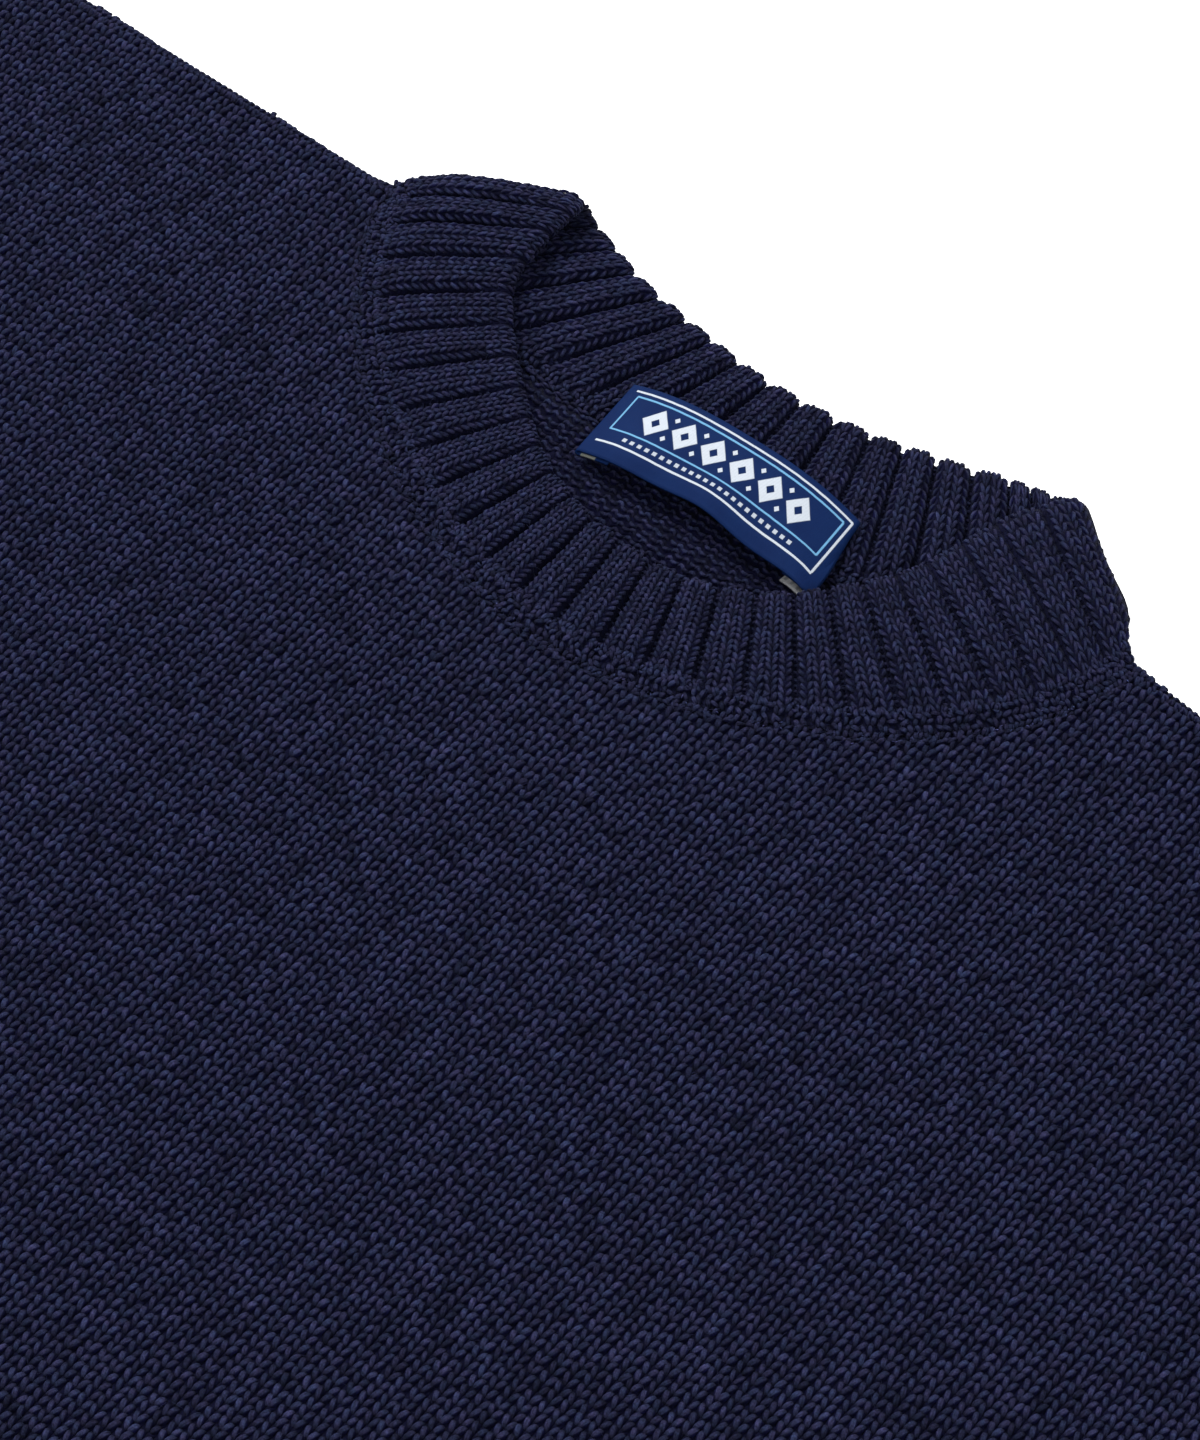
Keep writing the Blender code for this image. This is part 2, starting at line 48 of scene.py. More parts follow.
# How the cloth lies, in metres, with x from the centre front and y from the shoulder line
cloth = {
    "thickness": 3.0 * mm,
    "seamGap": 0.3 * mm,
    "edgeRound": 5.0 * mm,
    "edgeDrop": 1.6 * mm,
}
gauge = {"wale": 3.6 * mm, "course": 2.47 * mm, "ribCourses": 20}
body = {
    "halfWidth": 270 * mm,
    "length": 680 * mm,
    "hemHeight": 65 * mm,
    "hemHalfWidth": 261 * mm,
    "armhole": 235 * mm,
    "shoulderFall": 7 * mm,
    "shoulderEase": (-1.5 * mm, 1.6 * mm),
    "shoulderEaseEnd": 262 * mm,
    "shoulderEaseFade": 60 * mm,
    "neckEase": 1.0 * mm,
    "neckEaseFade": 14 * mm,
    "neckHalfWidth": 109.7 * mm,
    "frontDrop": 79 * mm,
    "frontFullness": 1.7,
    "backDrop": 22 * mm,
    "backFullness": 2.5,
    "neckClearance": -0.3 * mm,
}
upperFloor = cloth["thickness"] + cloth["seamGap"]
upperTop = upperFloor + cloth["thickness"]
hemLine = body["hemHeight"] - body["length"]
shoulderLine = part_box("front_hem_rib")[0].y + body["length"]

# Soft folds of the upper layer: a ridge between two points, its half width and its height, all in mm
folds = [
    (262, -222, 176, -300, 17, 5.0),
    (262, -214, 205, -170, 14, 3.6),
    (300, -246, 392, -262, 15, 5.2),
    (296, -226, 372, -214, 13, 4.0),
    (420, -262, 520, -318, 16, 3.4),
    (-264, -226, -168, -288, 16, 4.6),
    (-260, -212, -214, -156, 15, 3.8),
    (-302, -250, -400, -272, 16, 5.0),
    (-298, -228, -366, -206, 12, 3.6),
    (-430, -250, -540, -322, 17, 3.2),
    (-60, -330, 80, -372, 30, 2.6),
    (-150, -470, -30, -505, 28, 2.4),
]

# Shallow troughs and ridges left by handling, over the same layer
creases = [
    (-205, -60, -150, -150, 13, 0.7),
    (-120, -150, -30, -215, 17, -0.6),
    (40, -150, 130, -120, 16, 0.6),
    (150, -60, 215, -150, 15, -0.7),
    (90, -215, 190, -190, 12, 0.5),
    (-40, -260, 60, -290, 19, 0.7),
    (170, -350, 235, -430, 13, 2.4),
    (-235, -350, -175, -430, 12, 2.2),
    (60, -440, 190, -470, 12, 1.8),
    (-120, -545, 30, -585, 13, 2.6),
    (110, -590, 225, -555, 10, 2.0),
    (-240, -530, -150, -580, 11, 2.3),
    (-20, -420, 60, -395, 15, -1.2),
    (112, -4, 158, -12, 15, 1.9),
    (322, -140, 415, -222, 9, 2.6),
    (352, -190, 452, -262, 8, 2.0),
    (450, -230, 520, -282, 8, 2.8),
    (-335, -150, -410, -215, 10, 2.5),
    (-380, -205, -452, -250, 8, 1.9),
    (-470, -255, -530, -306, 8, 2.7),
]


def smooth(value):
    value = np.clip(value, 0.0, 1.0)
    return value * value * (3.0 - 2.0 * value)


def between(start, end, share):
    return start + (end - start) * share


def lengthOf(vectors):
    return np.linalg.norm(vectors, axis=-1, keepdims=True)


def unit(vectors):
    return vectors / np.maximum(lengthOf(vectors), 1e-12)


def curveThrough(points, samples=3000):
    # an even walk along the smooth curve through points, as a function of the share of its length
    points = np.asarray(points, float)
    spans = len(points) - 1
    ends = [2 * points[0] - points[1], *points, 2 * points[-1] - points[-2]]
    place = np.linspace(0.0, spans, samples + 1)
    index = np.minimum(place.astype(int), spans - 1)
    t = (place - index)[:, None]
    p0, p1, p2, p3 = (np.array(ends)[index + step] for step in range(4))
    fine = 2 * p1 + (p2 - p0) * t + (2 * p0 - 5 * p1 + 4 * p2 - p3) * t ** 2
    fine = 0.5 * (fine + (3 * p1 - p0 - 3 * p2 + p3) * t ** 3)
    reach = np.concatenate([[0.0], np.cumsum(lengthOf(np.diff(fine, axis=0))[:, 0])])
    reach /= reach[-1]
    return lambda share: np.stack([np.interp(share, reach, side) for side in fine.T], axis=-1)


# Meshes


def addPiece(name, points, quads, coordinates=None, material=None, values=None, maps=None):
    # points are in the garment's own frame, and coordinates hold a place in wales and courses per corner
    mesh = bpy.data.meshes.new(name)
    placed = np.asarray(points, np.float32).reshape(-1, 3) + np.array((0, shoulderLine, 0), np.float32)
    quads = np.asarray(quads, np.int32)
    mesh.vertices.add(len(placed))
    mesh.vertices.foreach_set("co", placed.ravel())
    mesh.loops.add(quads.size)
    mesh.loops.foreach_set("vertex_index", quads.ravel())
    mesh.polygons.add(len(quads))
    mesh.polygons.foreach_set("loop_start", np.arange(0, quads.size, 4, dtype=np.int32))
    mesh.update(calc_edges=True)
    for label, spots in {"knit": coordinates, **(maps or {})}.items():
        if spots is not None:
            layer = mesh.uv_layers.new(name=label)
            layer.uv.foreach_set("vector", np.asarray(spots, np.float32).ravel())
    for label, numbers in (values or {}).items():
        attribute = mesh.attributes.new(label, "FLOAT", "POINT")
        attribute.data.foreach_set("value", np.asarray(numbers, np.float32).ravel())
    mesh.shade_smooth()
    piece = bpy.data.objects.new(name, mesh)
    bpy.context.scene.collection.objects.link(piece)
    if material:
        mesh.materials.append(material)
    return piece


def gridQuads(rows, columns, ringRows=False, ringColumns=False):
    # the four corners of each cell, as vertex numbers and as places on the unrolled grid
    lastRow = rows if ringRows else rows - 1
    lastColumn = columns if ringColumns else columns - 1
    i, j = np.meshgrid(np.arange(lastRow), np.arange(lastColumn), indexing="ij")
    corners = np.stack([(i, j), (i + 1, j), (i + 1, j + 1), (i, j + 1)], axis=0)
    corners = np.moveaxis(corners, (0, 1), (-2, -1)).reshape(-1, 4, 2)
    numbers = (corners[..., 0] % rows) * columns + corners[..., 1] % columns
    return numbers, corners


def addWall(name, upper, lower, coordinates, materials, shadeUnderStitches=None):
    # a closed wall between two grids of the same size, its upper face in the first material
    rows, columns = upper.shape[:2]
    count = rows * columns
    top, corners = gridQuads(rows, columns)
    rim = [(i, 0) for i in range(rows)] + [(rows - 1, j) for j in range(1, columns)]
    rim += [(i, columns - 1) for i in range(rows - 2, -1, -1)]
    rim += [(0, j) for j in range(columns - 2, 0, -1)]
    rim = np.array(rim)
    after = np.roll(rim, -1, axis=0)
    first = rim[:, 0] * columns + rim[:, 1]
    second = after[:, 0] * columns + after[:, 1]
    sides = np.stack([second, first, first + count, second + count], axis=1)
    sideCorners = np.stack([after, rim, rim, after], axis=1)
    quads = np.concatenate([top, (top + count)[:, ::-1], sides])
    places = np.concatenate([corners, corners[:, ::-1], sideCorners])
    spots = coordinates[places[..., 0], places[..., 1]]
    # painted shade: shadeUnderStitches darkens the upper face to near black where modelled stitches lie over
    # it
    shade = np.zeros(2 * count)
    if shadeUnderStitches is not None:
        shade[:count] = shadeUnderStitches.ravel()
    points = np.concatenate([upper.reshape(-1, 3), lower.reshape(-1, 3)])
    piece = addPiece(name, points, quads, spots, values={"shadeUnderStitches": shade})
    for material in materials:
        piece.data.materials.append(material)
    kinds = np.concatenate([np.zeros(len(top)), np.full(len(top), len(materials) - 1), np.zeros(len(sides))])
    piece.data.polygons.foreach_set("material_index", kinds.astype(np.int32))
    faceUp(piece)
    return piece


def faceUp(piece):
    # turns a closed mesh's faces out if they came out facing in
    mesh = piece.data
    mesh.calc_loop_triangles()
    numbers = np.zeros(len(mesh.loop_triangles) * 3, np.int32)
    mesh.loop_triangles.foreach_get("vertices", numbers)
    spots = np.zeros(len(mesh.vertices) * 3, np.float32)
    mesh.vertices.foreach_get("co", spots)
    a, b, c = np.moveaxis(spots.reshape(-1, 3)[numbers.reshape(-1, 3)].astype(float), 1, 0)
    if (a * np.cross(b, c)).sum() < 0:
        mesh.flip_normals()


def addYarn(name, spine, side, up, width, height, dyeAndShade, arc=96, steps=4):
    # many short lengths of yarn, each a half tube over its spine: spine, side and up are n x k x 3
    count, rings = spine.shape[:2]
    angles = np.radians(np.linspace(-arc, arc, steps))
    across = np.sin(angles)[None, None, :, None]
    above = np.cos(angles)[None, None, :, None]
    points = spine[:, :, None] + side[:, :, None] * across * width[:, :, None, None]
    points = points + up[:, :, None] * above * height[:, :, None, None]
    points[..., 2] = np.maximum(points[..., 2], 0.0)
    cells, corners = gridQuads(rings, steps)
    quads = cells[None] + (np.arange(count) * rings * steps)[:, None, None]
    # painted shade: crest falls from 1 on top of the yarn to 0 down its sides, and the tone darkens towards
    # both ends where the yarn dips under the next stitch, on top of each length's own dye
    crest = np.maximum(np.cos(angles), 0)
    crest = np.broadcast_to(crest / crest.max(), (count, rings, steps))
    middle = np.sin(np.pi * np.linspace(0.12, 0.88, rings)) ** 1.3
    tone = np.broadcast_to(dyeAndShade[:, None, None] * middle[None, :, None], (count, rings, steps))
    along = corners / np.array((rings - 1, steps - 1))
    spots = np.broadcast_to(along[None], (count, *along.shape)) + chance.random((count, 1, 1, 1)) * 40
    flat = points.reshape(-1, 3)[quads.reshape(-1)][:, :2]
    low, high = flat.min(0), flat.max(0)
    bake = (flat - low) / (high - low)
    return addPiece(
        name, points, quads.reshape(-1, 4), spots, yarn,
        values={"crest": crest, "dyeAndShade": tone}, maps={"OFBake": bake},
    )


# The garment's surfaces


def ridges(rows, x, y):
    lift = np.zeros(np.broadcast(x, y).shape)
    for x0, y0, x1, y1, halfWidth, height in rows:
        dx, dy = (x1 - x0) * mm, (y1 - y0) * mm
        ox, oy = x - x0 * mm, y - y0 * mm
        place = (ox * dx + oy * dy) / (dx * dx + dy * dy)
        across = np.abs(ox * dy - oy * dx) / math.hypot(dx, dy)
        fade = smooth((place + 0.12) / 0.35) * smooth((1.12 - place) / 0.55)
        lift += height * mm * fade * np.exp(-2.0 * (across / (halfWidth * mm)) ** 2)
    return lift


def softLift(x, y):
    return ridges(folds, x, y) + ridges(creases, x, y)


def necklineDrop(x, halfWidth, drop, fullness):
    share = np.minimum(np.abs(x) / halfWidth, 1.0)
    return drop * (1.0 - share ** fullness) ** (1.0 / fullness)


def panelTop(x, drop, fullness):
    neck = body["neckHalfWidth"] + body["neckClearance"]
    scoop = -necklineDrop(x, neck, drop + body["neckClearance"], fullness)
    shoulder = -body["shoulderFall"] * (np.abs(x) - neck) / (body["halfWidth"] - neck)
    # each shoulder lies a little differently
    fade = smooth((body["shoulderEaseEnd"] - np.abs(x)) / body["shoulderEaseFade"])
    ease = np.where(x < 0, *body["shoulderEase"]) * fade
    pulled = np.exp(-np.maximum(x - neck, 0.0) / body["neckEaseFade"])
    pulled = pulled * np.where(x > 0, body["neckEase"], 0.0)
    return np.where(np.abs(x) < neck, scoop, shoulder + ease + pulled)


def frontTop(x):
    return panelTop(x, body["frontDrop"], body["frontFullness"])


def backTop(x):
    return panelTop(x, body["backDrop"], body["backFullness"])


def edgeDrop(x, y, top):
    side = smooth(1.0 - (body["halfWidth"] - np.abs(x)) / cloth["edgeRound"])
    belowArmhole = smooth((-body["armhole"] - y) / (12 * mm))
    shoulder = smooth(1.0 - (top - y) / cloth["edgeRound"])
    beyondNeck = smooth((np.abs(x) - body["neckHalfWidth"]) / (9 * mm))
    return cloth["edgeDrop"] * np.maximum(side * belowArmhole, shoulder * beyondNeck)


def frontHeight(x, y):
    return upperTop + softLift(x, y) - edgeDrop(x, y, frontTop(x))


# Camera

view = {
    "target": (27.0 * mm, -87.0 * mm, 6.3 * mm),
    "azimuth": 40.4776,
    "elevation": 57.968,
    "roll": -0.2343,
    "distance": 0.8763,
    "lens": 97.97,
    "sensor": 36.0,
    "shape": (1200, 1440),
}


def addCamera():
    azimuth, elevation, roll = (math.radians(view[k]) for k in ("azimuth", "elevation", "roll"))
    back = Vector((
        math.sin(azimuth) * math.cos(elevation),
        -math.cos(azimuth) * math.cos(elevation),
        math.sin(elevation),
    ))
    level = Vector((math.cos(azimuth), math.sin(azimuth), 0.0))
    raised = back.cross(level)
    right = level * math.cos(roll) + raised * math.sin(roll)
    above = raised * math.cos(roll) - level * math.sin(roll)
    data = bpy.data.cameras.new("camera")
    data.lens = view["lens"]
    data.sensor_width = view["sensor"]
    data.clip_start = 0.01
    data.clip_end = 50.0
    camera = bpy.data.objects.new("camera", data)
    bpy.context.scene.collection.objects.link(camera)
    turn = Matrix((right, above, back)).transposed().to_4x4()
    x, y, z = view["target"]
    turn.translation = Vector((x, y + shoulderLine, z)) + back * view["distance"]
    camera.matrix_world = turn
    bpy.context.scene.camera = camera
    return turn


cameraTurn = addCamera()


def beyondPhotograph(points):
    # how far places lie outside the frame, as a share of its height, and negative inside it
    inverse = np.array(cameraTurn.inverted())
    placed = points + np.array((0, shoulderLine, 0))
    local = placed @ inverse[:3, :3].T + inverse[:3, 3]
    scale = view["lens"] / view["sensor"] / -local[..., 2]
    wide, tall = view["shape"]
    across = np.abs(local[..., 0] * scale) - 0.5 * wide / tall
    upward = np.abs(local[..., 1] * scale) - 0.5
    return np.maximum(across, upward)


print("camera set")


# Materials


class Field:
    # one socket of a material, so that its sums are written as Python

    def __init__(self, finish, socket):
        self.finish = finish
        self.socket = socket

    def math(self, operation, *others):
        return self.finish.sum(operation, self, *others)

    def __add__(self, other):
        return self.math("ADD", other)

    def __radd__(self, other):
        return self.math("ADD", other)

    def __sub__(self, other):
        return self.math("SUBTRACT", other)

    def __rsub__(self, other):
        return self.finish.sum("SUBTRACT", other, self)

    def __mul__(self, other):
        return self.math("MULTIPLY", other)

    def __rmul__(self, other):
        return self.math("MULTIPLY", other)

    def __truediv__(self, other):
        return self.math("DIVIDE", other)

    def __rtruediv__(self, other):
        return self.finish.sum("DIVIDE", other, self)

    def __pow__(self, other):
        return self.math("POWER", other)

    def __mod__(self, other):
        return self.math("FLOORED_MODULO", other)

    def __abs__(self):
        return self.math("ABSOLUTE")


class Finish:
    # one material with a Principled shader, and the only way that nodes are added to it

    def __init__(self, name):
        self.material = bpy.data.materials.new(name)
        self.material.use_nodes = True
        self.tree = self.material.node_tree
        self.shader = self.tree.nodes["Principled BSDF"]

    def node(self, kind, settings=None, sockets=None, output=0):
        made = self.tree.nodes.new(kind)
        for key, value in (settings or {}).items():
            setattr(made, key, value)
        for key, value in (sockets or {}).items():
            self.feed(made.inputs[key], value)
        return Field(self, made.outputs[output])

    def feed(self, socket, value):
        if isinstance(value, Field):
            self.tree.links.new(value.socket, socket)
        else:
            socket.default_value = value

    def set(self, **sockets):
        for key, value in sockets.items():
            self.feed(self.shader.inputs[key.replace("_", " ")], value)

    def sum(self, operation, *terms):
        return self.node("ShaderNodeMath", {"operation": operation}, dict(enumerate(terms)))

    def larger(self, first, second):
        return self.sum("MAXIMUM", first, second)

    def clip(self, value):
        return self.sum("MINIMUM", self.larger(value, 0.0), 1.0)

    def map(self, label):
        return self.node("ShaderNodeUVMap", {"uv_map": label})

    def parts(self, vector):
        split = self.node("ShaderNodeSeparateXYZ", None, {0: vector})
        return [Field(self, socket) for socket in split.socket.node.outputs]

    def value(self, label):
        return self.node("ShaderNodeAttribute", {"attribute_name": label}, output="Fac")

    def object(self):
        return self.node("ShaderNodeTexCoord", output="Object")

    def noise(self, vector, scale, detail=2.0, roughness=0.5):
        sockets = {"Vector": vector, "Scale": scale, "Detail": detail, "Roughness": roughness}
        return self.node("ShaderNodeTexNoise", None, sockets, output="Fac")

    def stretch(self, vector, amounts):
        return self.node("ShaderNodeVectorMath", {"operation": "MULTIPLY"}, {0: vector, 1: amounts})

    def blend(self, factor, first, second, kind="MIX"):
        # the Mix node's colour sockets are its seventh and eighth, and its colour comes out of the third
        settings = {"data_type": "RGBA", "blend_type": kind}
        return self.node("ShaderNodeMix", settings, {0: factor, 6: first, 7: second}, output=2)

    def dimmed(self, colour, share):
        grey = self.node("ShaderNodeCombineXYZ", None, {0: share, 1: share, 2: share})
        return self.blend(1.0, colour, grey, "MULTIPLY")

    def bump(self, height, distance):
        return self.node("ShaderNodeBump", None, {"Height": height, "Distance": distance})


# Dyed wool seen from close by, with a painted shade colour for the hollows between stitches. Noise scales are
# in parts to the metre
woolLook = {
    "crest": (0.0194, 0.0190, 0.0500, 1.0),
    "cast": (0.0146, 0.0198, 0.0500, 1.0),
    "hollowShade": (0.0020, 0.0022, 0.0160, 1.0),
    "roughness": 0.92,
    "specular": 0.05,
    "sheen": 0.02,
    "sheenRoughness": 0.5,
    "sheenTint": (0.50, 0.55, 0.90, 1.0),
    "patchScale": 420.0,
    "fibreScale": 2300.0,
    "fibreContrast": 2.2,
    "plainTone": (0.49, 0.36),
    "plainGloss": 1.1,
    "yarnRelief": 0.0003,
    "stitchRelief": 0.0009,
}


def woolShader(finish, light, tone, height, distance, gloss=1.0):
    # light is painted light and shade, 0 down between the stitches and 1 on their crests, and tone is each
    # stitch's own shade, with painted shade in it where modelled yarn dips under the next stitch or lies in a
    # pocket
    place = finish.object()
    patches = finish.noise(place, woolLook["patchScale"], 2.0, 0.6)
    fibres = finish.noise(place, woolLook["fibreScale"], 2.0, 0.7)
    crest = finish.blend(finish.clip(patches * 3.4 - 1.2), woolLook["crest"], woolLook["cast"])
    # painted shade: the colour goes to the hollow shade where light is low
    colour = finish.blend(finish.clip(light), woolLook["hollowShade"], crest)
    colour = finish.dimmed(colour, tone * (fibres * woolLook["fibreContrast"] - 0.10))
    finish.set(Base_Color=colour, Normal=finish.bump(height + fibres * 0.25, distance))
    finish.set(Roughness=woolLook["roughness"], Sheen_Weight=woolLook["sheen"] * gloss)
    finish.set(Sheen_Roughness=woolLook["sheenRoughness"], Sheen_Tint=woolLook["sheenTint"])
    finish.set(Specular_IOR_Level=woolLook["specular"] * gloss)


def yarnFinish():
    # for stitches that are modelled one by one, with the fibres drawn out along the yarn
    finish = Finish("navyYarn")
    crest = finish.value("crest")
    place = finish.map("knit")
    spot = finish.parts(place)
    ply = finish.sum("SINE", (spot[0] * 1.6 + spot[1] * 1.0) * (2 * math.pi))
    streak = finish.noise(finish.stretch(place, (2.2, 6.5, 1.0)), 1.0, 2.0, 0.6)
    tone = finish.value("dyeAndShade") * (streak * 1.6 + 0.2)
    # painted shade falls off steeply from each yarn's crest down its sides
    woolShader(finish, crest ** 5.0 * 0.97, tone, ply * 0.2 + streak * 0.6, woolLook["yarnRelief"])
    return finish.material


# One leg of a V as bump, in mm: its middle out from the stitch's own and down, its lean and its half sizes
drawnLeg = {"out": 0.92, "down": 0.1, "lean": math.radians(16.68), "halfWidth": 0.84, "halfLength": 1.78}


def stitchHeight(finish, wales, courses):
    # the V of each plain stitch: how high its nearest leg stands, from 0 to 1
    wale, course = gauge["wale"] / mm, gauge["course"] / mm
    cos, sin = math.cos(drawnLeg["lean"]), math.sin(drawnLeg["lean"])
    out = abs(wales % 1.0 - 0.5) * wale - drawnLeg["out"]
    tall = None
    for step in (0.0, 1.0):
        up = (courses % 1.0 - step) * course + drawnLeg["down"]
        across = (out * cos - up * sin) / drawnLeg["halfWidth"]
        along = (out * sin + up * cos) / drawnLeg["halfLength"]
        leg = 1.0 - across ** 2.0 - along ** 4.0
        tall = leg if tall is None else finish.larger(tall, leg)
    return finish.larger(tall, 0.0) ** 0.5


def purlHeight(finish, wales, courses):
    # the wrong side: rows of low arches, each row set half a wale from the next
    wave = finish.sum("COSINE", wales * (2 * math.pi)) * 0.20
    head = finish.sum("COSINE", (courses + wave) * (2 * math.pi)) * 0.5 + 0.5
    dip = finish.sum("COSINE", wales * (4 * math.pi)) * 0.12
    return finish.clip(head * 0.88 + dip)


def plainFinish(name, purl=False):
    # for knitting whose stitches are too many to model
    finish = Finish(name)
    wales, courses, _ = finish.parts(finish.map("knit"))
    height = (purlHeight if purl else stitchHeight)(finish, wales, courses)
    cell = finish.node("ShaderNodeCombineXYZ", None, {
        0: finish.sum("FLOOR", wales), 1: finish.sum("FLOOR", courses),
    })
    odd = finish.node("ShaderNodeTexWhiteNoise", {"noise_dimensions": "2D"}, {"Vector": cell}, output="Value")
    # painted shade: darker down between the stitches of the bump, darker again on purl, and near black under
    # modelled stitches
    light = height ** 1.3 * (0.66 if purl else 0.92) * (1.0 - finish.value("shadeUnderStitches") * 0.86)
    darkest, variety = woolLook["plainTone"]
    # the sheen lightens it at a low angle, as crests that hide their hollows do on modelled yarn
    woolShader(
        finish, light, odd * variety + darkest, height, woolLook["stitchRelief"], woolLook["plainGloss"],
    )
    return finish.material


yarn = yarnFinish()
plainKnit = plainFinish("navyPlainKnit")
purlKnit = plainFinish("navyPurlKnit", purl=True)
print("wool finishes made")


# Body panels

# How finely the panels are cut, and how far the front sinks under its modelled stitches
panelGrid = {"neckSteps": 56, "shoulderSteps": 34, "frontRows": 104, "backRows": 40, "sink": 0.75 * mm}
# Single stitches reach this far past the photograph's frame, as shares of its height
yokeEdge = {"reach": 0.032, "fade": 0.026}
# The hem gathers the last part of each panel by this share of its width
gather = {"share": 0.03, "over": 38 * mm}


def panelColumns():
    neck = body["neckHalfWidth"] + body["neckClearance"]
    inner = neck * np.sin(np.pi * np.linspace(-0.5, 0.5, panelGrid["neckSteps"] + 1))
    steps = np.linspace(0.0, 1.0, panelGrid["shoulderSteps"] + 1)[1:]
    outer = neck + (body["halfWidth"] - neck) * (1.0 - (1.0 - steps) ** 1.25)
    return np.concatenate([-outer[::-1], inner, outer])


def panelPlaces(topOf, rows):
    # the sides are drawn in over the last courses, where the hem rib gathers the cloth
    x = panelColumns()
    top = topOf(x)
    start = hemLine + cloth["seamGap"]
    share = np.linspace(0.0, 1.0, rows + 1)
    share = 1.0 - (1.0 - share) ** 1.12
    y = start + (top[:, None] - start) * share[None, :]
    return x[:, None] * (1.0 - gathered(y)), y, top[:, None]


def gathered(y):
    return gather["share"] * smooth(1.0 - (y - hemLine) / gather["over"])


def yokeShare(x, y):
    # 1 over all of the front that the photograph shows, and fading to 0 a little way beyond it
    spots = np.stack([x, y, np.full(np.shape(x), upperTop)], axis=-1)
    return smooth((yokeEdge["reach"] - beyondPhotograph(spots)) / yokeEdge["fade"])


def frontPanel():
    x, y, _ = panelPlaces(frontTop, panelGrid["frontRows"])
    lift = softLift(x, y)
    share = yokeShare(x, y)
    upper = np.stack([x, y, frontHeight(x, y) - panelGrid["sink"] * share], axis=-1)
    lower = np.stack([x, y, upperFloor + lift], axis=-1)
    spots = np.stack([x / gauge["wale"] / (1.0 - gathered(y)), y / gauge["course"]], axis=-1)
    return addWall("front_panel", upper, lower, spots, [plainKnit, purlKnit], share)


def backPanel():
    x, y, top = panelPlaces(backTop, panelGrid["backRows"])
    rounding = edgeDrop(x, y, top)
    share = innerShare(x, y)
    upper = np.stack([x, y, cloth["thickness"] - purl["sink"] * share], axis=-1)
    lower = np.stack([x, y, rounding * 0.5], axis=-1)
    spots = np.stack([x / gauge["wale"] / (1.0 - gathered(y)), y / gauge["course"]], axis=-1)
    return addWall("back_panel", upper, lower, spots, [purlKnit, plainKnit], share)


stitch = {
    # the spine of one leg of a V, from the foot to the top: out from its middle and up, in stitches
    "out": (0.080, 0.165, 0.255, 0.335, 0.385),
    "up": (-0.60, -0.31, 0.00, 0.31, 0.60),
    "ribOut": (0.085, 0.185, 0.310, 0.420, 0.490),
    "ribUp": (-0.68, -0.36, 0.00, 0.36, 0.68),
    "lift": (-0.80, -0.05, 0.28, 0.08, -0.72),
    "swell": (0.64, 0.95, 1.00, 0.95, 0.64),
    "radius": 0.88 * mm,
    "stray": 0.055,
    "heather": 0.15,
    "pieces": 4,
    "lowestRow": 345 * mm,
}


def surfaceFrame(surface, u, v):
    # places and their outward normals on a surface given in wales and courses
    spot = surface(u, v)
    alongU = surface(u + 0.05, v) - surface(u - 0.05, v)
    alongV = surface(u, v + 0.05) - surface(u, v - 0.05)
    return spot, unit(np.cross(alongU, alongV))


def legsOn(name, surface, u, v, radius, arc=96, ribbed=False, dim=1.0):
    # both legs of a V at each middle (u, v)
    legOut, legUp = (stitch["ribOut"], stitch["ribUp"]) if ribbed else (stitch["out"], stitch["up"])
    count = len(u)
    girth = np.broadcast_to(radius, (count,)) * (1.0 + chance.normal(0.0, 0.06, count))
    dyeAndShade = 1.0 + chance.normal(0.0, stitch["heather"], count)
    parts = []
    for side in (-1.0, 1.0):
        stray = chance.normal(0.0, stitch["stray"], (count, 4))
        out = side * np.array(legOut)[None, :] * (1.0 + stray[:, 2:3]) + stray[:, 0:1] * 0.6
        up = np.array(legUp)[None, :] * (1.0 + stray[:, 3:4]) + stray[:, 1:2]
        spot, normal = surfaceFrame(surface, u[:, None] + out, v[:, None] + up)
        width = girth[:, None] * np.array(stitch["swell"])[None, :]
        rise = girth[:, None] * (np.array(stitch["lift"])[None, :] + stray[:, 1:2] * 2.5)
        spine = spot + normal * rise[..., None]
        sideways = unit(np.cross(unit(np.gradient(spine, axis=1)), normal))
        shade = np.clip(dyeAndShade * (1.0 + chance.normal(0.0, stitch["heather"], count)), 0.45, 1.7) * dim
        parts.append((spine, sideways, normal, width, width, shade))
    return joinYarn(name, parts, arc)


def turnedFrame(surface, step, u, v, angle):
    # places on a surface, the ways ahead and aside there at an angle to its first direction, and outwards
    stepU, stepV = step
    alongU = unit(surface(u + stepU, v) - surface(u - stepU, v))
    normal = unit(np.cross(alongU, surface(u, v + stepV) - surface(u, v - stepV)))
    across = np.cross(normal, alongU)
    cos, sin = np.cos(angle)[:, None], np.sin(angle)[:, None]
    return surface(u, v), alongU * cos + across * sin, across * cos - alongU * sin, normal


def slugs(surface, step, u, v, angle, length, radius, dyeAndShade, bow=0.0, lift=0.2):
    # short lengths of yarn on a surface, each turned by angle from the surface's first direction
    count = len(u)
    spot, ahead, aside, normal = turnedFrame(surface, step, u, v, angle)
    place = np.linspace(-0.5, 0.5, 5)
    hump = 1.0 - (2.0 * place) ** 2
    spine = spot[:, None] + ahead[:, None] * (length[:, None] * place)[..., None]
    spine = spine + aside[:, None] * (np.broadcast_to(bow, (count,))[:, None] * hump)[..., None]
    spine = spine + normal[:, None] * (radius[:, None] * (lift + 0.85 * hump - 0.95))[..., None]
    normals = np.broadcast_to(normal[:, None], spine.shape)
    sideways = unit(np.cross(unit(np.gradient(spine, axis=1)), normals))
    width = radius[:, None] * (0.55 + 0.45 * hump)
    return spine, sideways, normals, width, width, dyeAndShade


